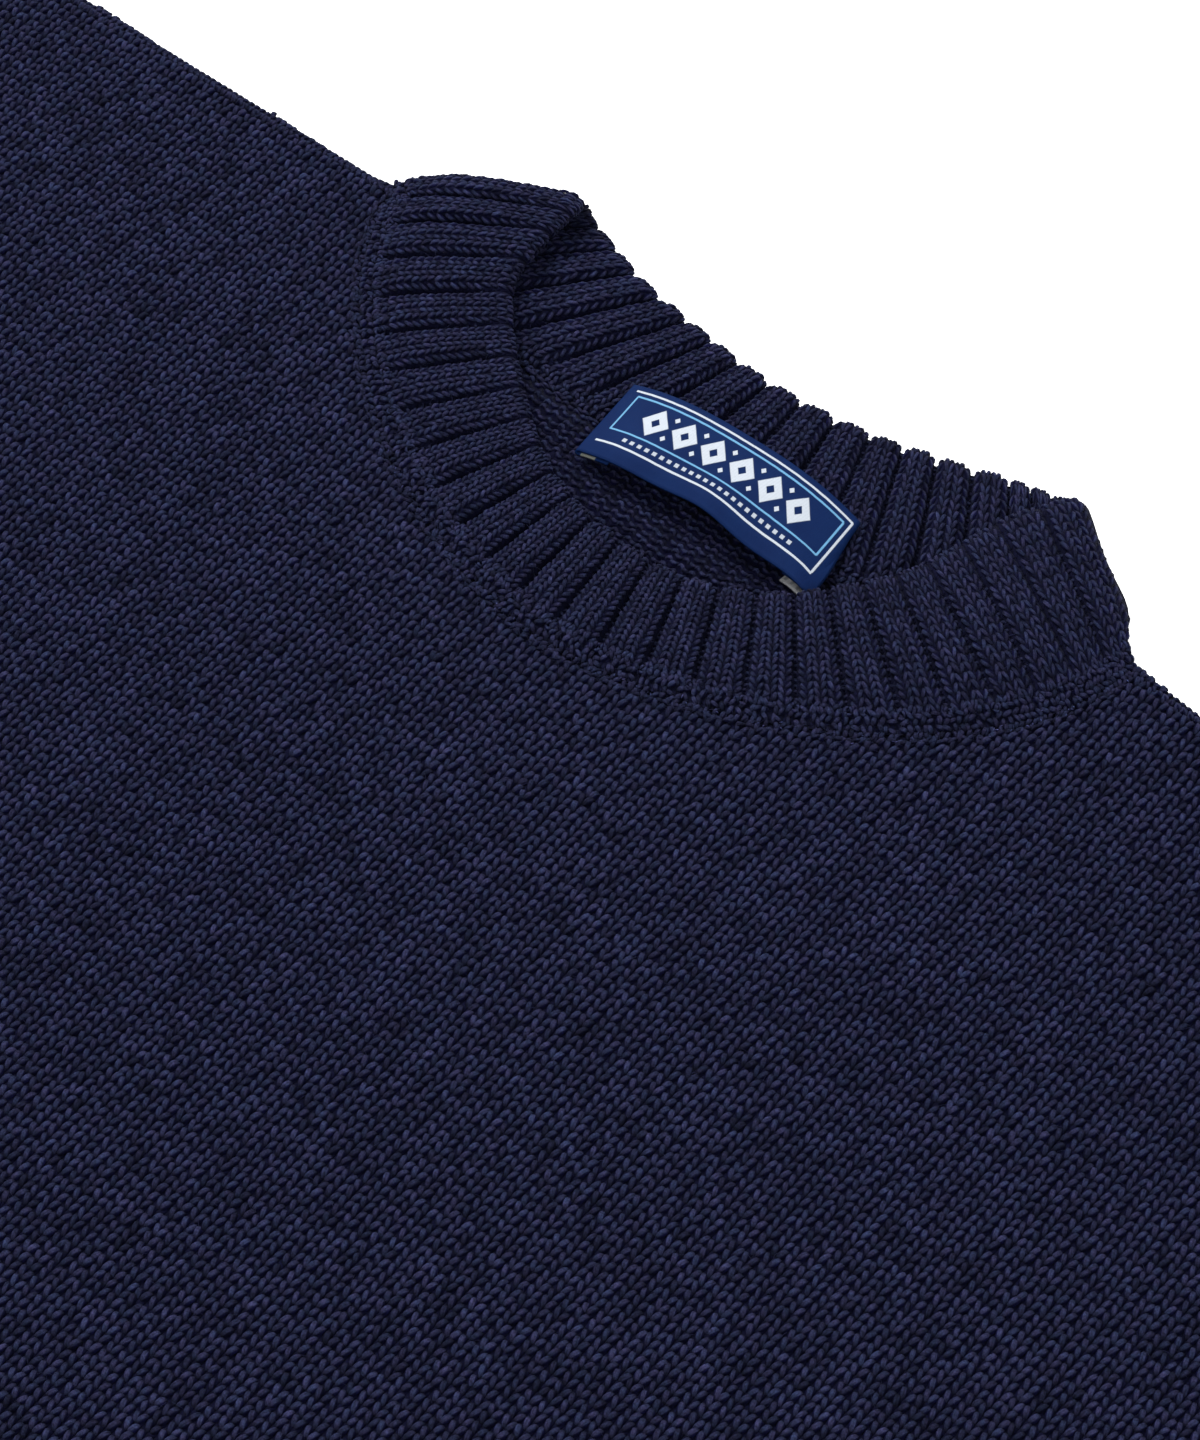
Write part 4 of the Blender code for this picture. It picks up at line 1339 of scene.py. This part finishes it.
def sleeveTube(name, side):
    t = np.linspace(0, 1, sleeveCut["rings"] + 1)
    upper, lower = sleeveEdges(t)
    middle = (upper + lower) * 0.5
    ending = smooth((t - sleeveCut["gatherFrom"]) / (1.0 - sleeveCut["gatherFrom"]))
    width = lengthOf(upper - lower)[:, 0] * (1.0 - sleeveCut["gather"] * ending)
    across = unit(upper - lower)
    thick = cloth["thickness"]
    count = sleeveCut["across"]
    layers = []
    for inset, height, floor in ((0.0, upperTop, 0.0), (thick, upperTop - 2 * thick, thick)):
        rings = []
        for i in range(len(t)):
            offset, z = flatRing(width[i] * 0.5 - inset, height, floor, count)
            spot = middle[i] + across[i] * offset[:, None]
            raised = smooth((z - floor) / height * 2.2 - 1.0)
            lift = softLift(side * spot[:, 0], spot[:, 1]) * raised
            rings.append(np.stack([side * spot[:, 0], spot[:, 1], z + lift], axis=-1))
        layers.append(np.array(rings))
    outer, inner = layers
    length = sleeveCut["run"] / gauge["course"]
    offsets = np.array([flatRing(w * 0.5, upperTop, 0.0, count)[0] for w in width])
    ringLength = np.abs(np.diff(offsets, axis=1, append=offsets[:, :1]))
    walked = np.cumsum(np.maximum(ringLength, 0.4 * mm), axis=1) - offsets[:, :1]
    walked = np.concatenate([walked, walked[:, -1:] + 1 * mm], axis=1)
    return outer, inner, walked / gauge["wale"], t * length


def addTube(name, outer, inner, wales, courses, materials):
    # a tube with an outer and an inner face, joined at both open ends
    rings, around = outer.shape[:2]
    count = rings * around
    cells, corners = gridQuads(rings, around, ringColumns=True)
    ends = []
    endCorners = []
    for row, turn in ((0, 1), (rings - 1, -1)):
        j = np.arange(around)
        k = (j + 1) % around
        base = row * around
        strip = np.stack([base + j, base + k, base + k + count, base + j + count], axis=1)[:, ::turn]
        spot = np.stack([np.full((around, 4), row), np.stack([j, j + 1, j + 1, j], axis=1)], axis=-1)
        ends.append(strip)
        endCorners.append(spot[:, ::turn])
    quads = np.concatenate([cells, (cells + count)[:, ::-1], *ends])
    places = np.concatenate([corners, corners[:, ::-1], *endCorners])
    spots = np.stack([wales[places[..., 0], places[..., 1]], courses[places[..., 0]]], axis=-1)
    piece = addPiece(name, np.concatenate([outer.reshape(-1, 3), inner.reshape(-1, 3)]), quads, spots)
    for material in materials:
        piece.data.materials.append(material)
    kinds = np.zeros(len(quads), np.int32)
    kinds[len(cells):2 * len(cells)] = len(materials) - 1
    piece.data.polygons.foreach_set("material_index", kinds)
    faceUp(piece)
    return piece


def addSleeve(name, side):
    outer, inner, wales, courses = sleeveTube(name, side)
    return addTube(name, outer, inner, wales, courses, [plainKnit, purlKnit])


def addCuff(name, side):
    start, along, across = sleeveEnd()
    lengthShare = np.concatenate([[0.0, 0.03, 0.07], np.linspace(0.12, 0.94, 20), [0.965, 0.985, 1.0]])
    width = np.interp(lengthShare, *cuffCut["widths"])
    tall = np.interp(lengthShare, *cuffCut["heights"])
    stitches = cuffCut["ribs"] * band["stitchesPerRib"]
    topPlaces = np.linspace(1, -1, stitches * 4 + 1)
    phase = (1 - topPlaces) * 0.5 * stitches
    underPlaces = np.linspace(-0.97, 0.97, 40)
    radius = cuffCut["height"] * 0.5
    half = cuffCut["half"] * width[:, None]
    middle = start + along * (cuffCut["length"] * lengthShare)[:, None]
    reach = np.maximum(np.abs(half * topPlaces) - (half - radius), 0) / radius
    curve = np.sqrt(np.maximum(1 - reach ** 2, 0))
    ribbed = ribProfile(phase, *shallowGroove) * cuffCut["ribShare"]
    topZ = radius + radius * curve * tall[:, None] + ribbed[None] * curve
    underZ = np.zeros((len(width), len(underPlaces)))
    share = np.concatenate([topPlaces, underPlaces])
    z = np.concatenate([topZ, underZ], axis=1)
    spot = middle[:, None] + across * (half * share[None])[..., None]
    outer = np.concatenate([spot * np.array((side, 1)), z[..., None]], axis=-1)
    innerShare = share * 0.97
    innerSpot = middle[:, None] + across * ((half - cloth["thickness"]) * innerShare[None])[..., None]
    innerZ = cloth["thickness"] + np.where(np.arange(len(share)) < len(topPlaces), 0.4 * mm, 0.0)
    innerZ = np.broadcast_to(innerZ[None], z.shape)
    inner = np.concatenate([innerSpot * np.array((side, 1)), innerZ[..., None]], axis=-1)
    under = stitches + (underPlaces + 1) * 0.5 * stitches
    counted = np.concatenate([phase, under, under[-1:] + 0.5]) + 0.5
    wales = np.broadcast_to(counted[None], (len(width), len(counted)))
    courses = lengthShare * cuffCut["length"] / gauge["course"]
    return addTube(name, outer, inner, wales, courses, [plainKnit, purlKnit])


def addHem(name, isFront):
    stitches = round(2 * body["hemHalfWidth"] / hemCut["rib"]) * band["stitchesPerRib"]
    share = np.linspace(-1, 1, stitches * 2 + 1)
    phase = (share + 1) * 0.5 * stitches
    row = np.concatenate([[0.0, 0.04, 0.08], np.linspace(0.16, 0.94, 8), [0.97, 1.0]])
    width = np.interp(row, *hemCut["widths"])
    tall = np.interp(row, *hemCut["heights"])
    top = hemLine + cloth["seamGap"]
    y = top + (-body["length"] - top) * row
    x = body["hemHalfWidth"] * width[None] * share[:, None]
    end = 1 - hemCut["endDrop"] * smooth((np.abs(share) - hemCut["endFrom"]) / (1 - hemCut["endFrom"]))
    floor = upperFloor if isFront else 0.0
    if isFront:
        ribbed = ribProfile(phase, *shallowGroove) * hemCut["ribShare"]
    else:
        ribbed = -hemCut["backDepth"] * (1 + np.cos(phase * np.pi / 2)) * 0.5
    z = cloth["thickness"] * tall[None] + ribbed[:, None] * np.minimum(row * 12, 1)[None]
    z = floor + z * end[:, None]
    y = np.broadcast_to(y[None], x.shape)
    upper = np.stack([x, y, z], axis=-1)
    lower = np.stack([x, y, np.full(x.shape, floor)], axis=-1)
    spots = np.stack([np.broadcast_to(phase[:, None] + 0.5, x.shape), y / gauge["course"]], axis=-1)
    return addWall(name, upper, lower, spots, [plainKnit, plainKnit])


rightSleeve = addSleeve("right_sleeve_tube", -1)
leftSleeve = addSleeve("left_sleeve_tube", 1)
rightCuff = addCuff("right_cuff_rib", -1)
leftCuff = addCuff("left_cuff_rib", 1)
frontHem = addHem("front_hem_welt", True)
backHem = addHem("back_hem_welt", False)
print("sleeves, cuffs and hem made")


# Labels

label = {
    "width": 65 * mm,
    "depth": 22.5 * mm,
    "cloth": 0.55 * mm,
    "tilt": math.radians(3),
    "centre": (6.6 * mm, -21.0 * mm),
    "floor": 6.5 * mm,
    "dip": 1.3 * mm,
    "bulge": 4.6 * mm,
    "arch": 1.5 * mm,
    "fold": 9 * mm,
    "flare": 2.8 * mm,
    "ripple": 0.85 * mm,
    "ripplePitch": 4.9 * mm,
    "curl": 1.0 * mm,
    "sway": 0.45 * mm,
    "swayPitch": 6.3 * mm,
    "peek": 0.35 * mm,
    "steps": (92, 30),
    "ground": (0.0012, 0.0105, 0.0640, 1.0),
    "groundLit": (0.0038, 0.0210, 0.0950, 1.0),
    "white": (0.55, 0.60, 0.67, 1.0),
    "skyBlue": (0.150, 0.380, 0.620, 1.0),
    "cutEnd": (0.20, 0.21, 0.19, 1.0),
}
tab = {
    "size": (6.6 * mm, 6.2 * mm),
    "centre": (36.6 * mm, -27.7 * mm),
    "cloth": 0.6 * mm,
    "tilt": math.radians(-8),
    # its white is painted dim, as shadow from the neck label over it
    "white": (0.50, 0.51, 0.53, 1.0),
    "shade": (0.20, 0.21, 0.23, 1.0),
}


def turned(x, y, angle, centre):
    cos, sin = math.cos(angle), math.sin(angle)
    return np.stack([centre[0] + x * cos - y * sin, centre[1] + x * sin + y * cos], axis=-1)


def stripe(finish, place, middle, width, soft=0.10):
    # 1 on a woven line across place, in mm
    return finish.clip((width * 0.5 + soft - abs(place - middle)) / soft)


# What is woven on the label, in mm across from its middle and down from its top edge, with each line as its
# place and width
weave = {
    "field": (-29.3, 30.2),
    "whiteEnds": (-30.6, -30.2, 31.9),
    "topWhite": (1.7, 0.46),
    "topBlue": (3.2, 0.42),
    "lowBlue": (14.1, 0.38),
    "lowWhite": (18.3, 0.50),
    "blueEnds": ((-29.1, 0.34), (30.1, 0.42)),
    "rightEnd": (31.7, 0.44),
    "pitch": 8.2,
    "row": 8.7,
    "lozenge": (3.7, 4.4),
    "hole": (1.25, 1.5),
    "bead": (0.8, 0.95),
    "beadDrop": 3.0,
    "reach": (24.6, 21.0),
    "bars": 16.2,
    "barPitch": 2.05,
    "barSize": 0.95,
    "cutEnd": (-38.6, -34.4, 21.9),
}


def labelFinish():
    finish = Finish("labelSatin")
    across, down, _ = finish.parts(finish.map("knit"))
    wobble = finish.noise(finish.map("knit"), 0.35, 1.0) - 0.5
    row = down + wobble * 0.18

    def above(value, edge):
        return finish.clip((value - edge) * 8.0)

    def below(value, edge):
        return finish.clip((edge - value) * 8.0)

    def diamond(place, height, size, sharpness):
        return finish.clip((1.0 - place / size[0] - height / size[1]) * sharpness)

    left, right = weave["field"]
    topLeft, lowLeft, whiteRight = weave["whiteEnds"]
    inField = above(across, left) * below(across, right)
    inWhite = below(across, whiteRight)
    topWhite = stripe(finish, row, *weave["topWhite"]) * above(across, topLeft) * inWhite
    lowWhite = stripe(finish, row, *weave["lowWhite"]) * above(across, lowLeft) * inWhite
    blueLines = stripe(finish, row, *weave["topBlue"]) + stripe(finish, row, *weave["lowBlue"])
    ends = finish.larger(*(stripe(finish, across, *end) for end in weave["blueEnds"]))
    ends = ends * above(row, weave["topBlue"][0]) * below(row, weave["lowBlue"][0] + 0.1)
    rightEnd = stripe(finish, across, *weave["rightEnd"]) * above(row, 1.6) * below(row, 18.5)
    # a plain row of woven lozenges fills the field, over a row of short bars
    step = abs(across % weave["pitch"] - weave["pitch"] / 2)
    level = abs(row - weave["row"])
    lozenge = diamond(step, level, weave["lozenge"], 14.0) - diamond(step, level, weave["hole"], 7.0)
    beads = diamond(weave["pitch"] / 2 - step, abs(level - weave["beadDrop"]), weave["bead"], 6.0)
    bars = stripe(finish, abs(across % weave["barPitch"] - weave["barPitch"] / 2), 0.0, weave["barSize"])
    bars = bars * stripe(finish, row, weave["bars"], weave["barSize"]) * 0.85
    reach, beadReach = (below(abs(across), edge) for edge in weave["reach"])
    white = finish.clip(topWhite + lowWhite + rightEnd + (lozenge + bars) * reach + beads * beadReach)
    sky = finish.clip(blueLines * inField + ends)
    warp = finish.sum("SINE", across * (2 * math.pi / 0.30))
    weft = finish.sum("SINE", row * (2 * math.pi / 0.22))
    twill = finish.sum("SINE", (across * 1.9 + row * 4.2) * (2 * math.pi / 1.0))
    patches = finish.noise(finish.map("knit"), 0.12, 3.0)
    lit = finish.clip(patches * 1.3 - 0.15 + twill * 0.08)
    ground = finish.blend(lit, label["ground"], label["groundLit"])
    colour = finish.blend(sky, ground, label["skyBlue"])
    colour = finish.blend(white, colour, label["white"])
    left, right, top = weave["cutEnd"]
    worn = above(across, left) * below(across, right) * above(down, top)
    colour = finish.blend(worn, colour, label["cutEnd"])
    thread = warp * weft * 0.12 + twill * 0.04 + 0.92
    colour = finish.dimmed(colour, thread)
    raised = finish.clip(white + sky)
    bump = finish.bump(warp * weft * 0.3 + twill * 0.25 + raised * 1.4, 0.00006)
    finish.set(Base_Color=colour, Normal=bump, Roughness=0.62 - raised * 0.06 + patches * 0.08)
    finish.set(Specular_IOR_Level=0.08)
    return finish.material


def tapeFinish():
    finish = Finish("whiteTape")
    across, down, _ = finish.parts(finish.map("knit"))
    warp, weft = (finish.sum("SINE", place * (2 * math.pi / 0.35)) for place in (across, down))
    threads = warp * weft
    grain = finish.noise(finish.map("knit"), 2.2, 2.0)
    line = stripe(finish, abs(across % 1.9 - 0.95), 0.0, 0.7) * stripe(finish, down, -1.6, 1.5)
    lit = finish.clip((0.55 + threads * 0.2 + grain * 0.3) * (1.0 - line * 0.8))
    # the white is painted dim, as shadow from the neck label over the tab
    finish.set(Base_Color=finish.blend(lit, tab["shade"], tab["white"]))
    finish.set(Normal=finish.bump(threads, 0.00008), Roughness=0.66 + grain * 0.12, Specular_IOR_Level=0.2)
    return finish.material


def neckLabel():
    half = label["width"] * 0.5
    turn = label["cloth"] * 0.95
    bend = np.linspace(0, np.pi, 9)
    under = np.linspace(label["fold"], turn * 1.4, 8)
    run = np.linspace(-half + turn * 1.2, half - turn * 1.2, label["steps"][0])
    left = [(-half + place, 0.0) for place in under]
    left += [(-half + turn - turn * math.sin(a), turn - turn * math.cos(a)) for a in bend]
    path = np.array(left + [(x, turn * 2) for x in run] + [(-x, z) for x, z in reversed(left)])
    walked = np.concatenate([[0], np.cumsum(lengthOf(np.diff(path, axis=0))[:, 0])])
    walked -= walked[-1] / 2
    tangent = unit(np.gradient(path, axis=0))
    normal = np.stack([-tangent[:, 1], tangent[:, 0]], axis=-1)
    x, row = np.meshgrid(path[:, 0], np.linspace(-0.5, 0.5, label["steps"][1]), indexing="ij")
    # it bows up from its ends, and its lower edge is free to ripple and curl between them
    rise = 1.0 - np.abs(x / half) ** 2.6
    bow = label["bulge"] * rise + label["floor"] - label["dip"] * (0.5 - row)
    held = 1 - (x / half) ** 6
    free = smooth((0.12 - row) * 1.7) * held
    wave = np.sin(x / label["ripplePitch"] + 0.8 + 0.5 * np.sin(x / (11 * mm)))
    ripple = label["ripple"] * wave * free
    curl = -label["curl"] * smooth((-row - 0.36) / 0.14) * held
    sway = label["sway"] * np.sin(x / label["swayPitch"] + 2.1) * free + label["arch"] * rise
    # the folded ends stand out from under the label: blue at the right, the cut edge at the left
    below = np.clip(1.0 - path[:, 1:] / (2 * turn), 0, 1)
    below = below * (np.abs(path[:, :1]) > half - label["fold"] - mm)
    flare = label["flare"] * below * smooth(0.62 - row) * (path[:, :1] > 0)
    peek = -label["peek"] * below * smooth((-0.2 - row) / 0.2) * (path[:, :1] < 0)
    layers = []
    for side in (0.5, -0.5):
        outX, outZ = normal[:, :1] * label["cloth"] * side, normal[:, 1:] * label["cloth"] * side
        z = path[:, 1:] + outZ + bow + ripple + curl + label["cloth"] * 0.5
        spot = turned(x + outX + flare, row * label["depth"] + sway + peek, label["tilt"], label["centre"])
        layers.append(np.concatenate([spot, z[..., None]], axis=-1))
    down = (0.5 - row) * label["depth"] / mm
    spots = np.stack([np.broadcast_to(walked[:, None] / mm, x.shape), down], axis=-1)
    return addWall("neck_label_weave", layers[0], layers[1], spots, [labelFinish()])


def sizeTab():
    width, depth = tab["size"]
    share, row = np.meshgrid(np.linspace(0, 1, 25), np.linspace(-0.5, 0.5, 17), indexing="ij")
    place = turned(width * (share - 0.5), depth * row, tab["tilt"], tab["centre"])
    z = upperFloor + 0.5 * mm * np.sin(np.pi * share) + 0.5 * mm * smooth((-row - 0.1) / 0.4) * share
    lower = np.concatenate([place, z[..., None]], axis=-1)
    upper = lower + np.array((0, 0, tab["cloth"]))
    spots = np.stack([share * width / mm, row * depth / mm], axis=-1)
    return addWall("size_label_tape", upper, lower, spots, [tapeFinish()])


neckLabelPiece = neckLabel()
sizeTabPiece = sizeTab()
print("labels made")


# What each piece stands for, and the pieces carried with it


def declare(piece, node, carries=()):
    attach(piece, "root")
    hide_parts(node)
    for extra in carries:
        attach(extra, "root")


declare(
    front, "front_body",
    [*yoke, seams, yokeFibres],
)
declare(back, "back_body", [backPurl])
declare(rightSleeve, "right_sleeve")
declare(leftSleeve, "left_sleeve")
declare(rightCuff, "right_cuff")
declare(leftCuff, "left_cuff")
declare(frontHem, "front_hem_rib")
declare(backHem, "back_hem_rib")
declare(neckband, "neckband", neckStitches)
declare(neckLabelPiece, "neck_label")
declare(sizeTabPiece, "size_label")


# Stage and light

studio = {
    "floorColour": (0.92, 0.92, 0.93, 1.0),
    "floorGlow": 0.62,
    "world": 0.62,
    "key": (-1.15, 0.75, 1.55),
    "keyPower": 46.0,
    "keySize": 1.1,
    "fill": (1.3, -0.9, 1.5),
    "fillPower": 16.0,
    "fillSize": 1.6,
    "aim": (0.03, 0.22, 0.0),
    "floorReach": 30.0,
    "floorLevel": -0.4 * mm,
}


def addFloor():
    finish = Finish("paleFloor")
    finish.set(Base_Color=studio["floorColour"], Roughness=0.9)
    finish.set(Emission_Color=(1.0, 1.0, 1.0, 1.0), Emission_Strength=studio["floorGlow"])
    mesh = bpy.data.meshes.new("floor")
    reach = studio["floorReach"]
    corners = [(x * reach, y * reach, studio["floorLevel"]) for x, y in ((-1, -1), (1, -1), (1, 1), (-1, 1))]
    mesh.from_pydata(corners, [], [(0, 1, 2, 3)])
    floor = bpy.data.objects.new("floor", mesh)
    mesh.materials.append(finish.material)
    bpy.context.scene.collection.objects.link(floor)


def addLamp(name, place, power, size):
    lamp = bpy.data.lights.new(name, "AREA")
    lamp.shape = "DISK"
    lamp.size = size
    lamp.energy = power
    holder = bpy.data.objects.new(name, lamp)
    holder.location = place
    holder.rotation_euler = (Vector(studio["aim"]) - Vector(place)).to_track_quat("-Z", "Y").to_euler()
    bpy.context.scene.collection.objects.link(holder)


def addWorld():
    world = bpy.data.worlds.new("studio")
    world.use_nodes = True
    backdrop = world.node_tree.nodes["Background"]
    backdrop.inputs["Color"].default_value = (1.0, 1.0, 1.0, 1.0)
    backdrop.inputs["Strength"].default_value = studio["world"]
    bpy.context.scene.world = world


addFloor()
addLamp("key", studio["key"], studio["keyPower"], studio["keySize"])
addLamp("fill", studio["fill"], studio["fillPower"], studio["fillSize"])
addWorld()
bpy.context.scene.view_settings.view_transform = "Standard"
print("studio set")
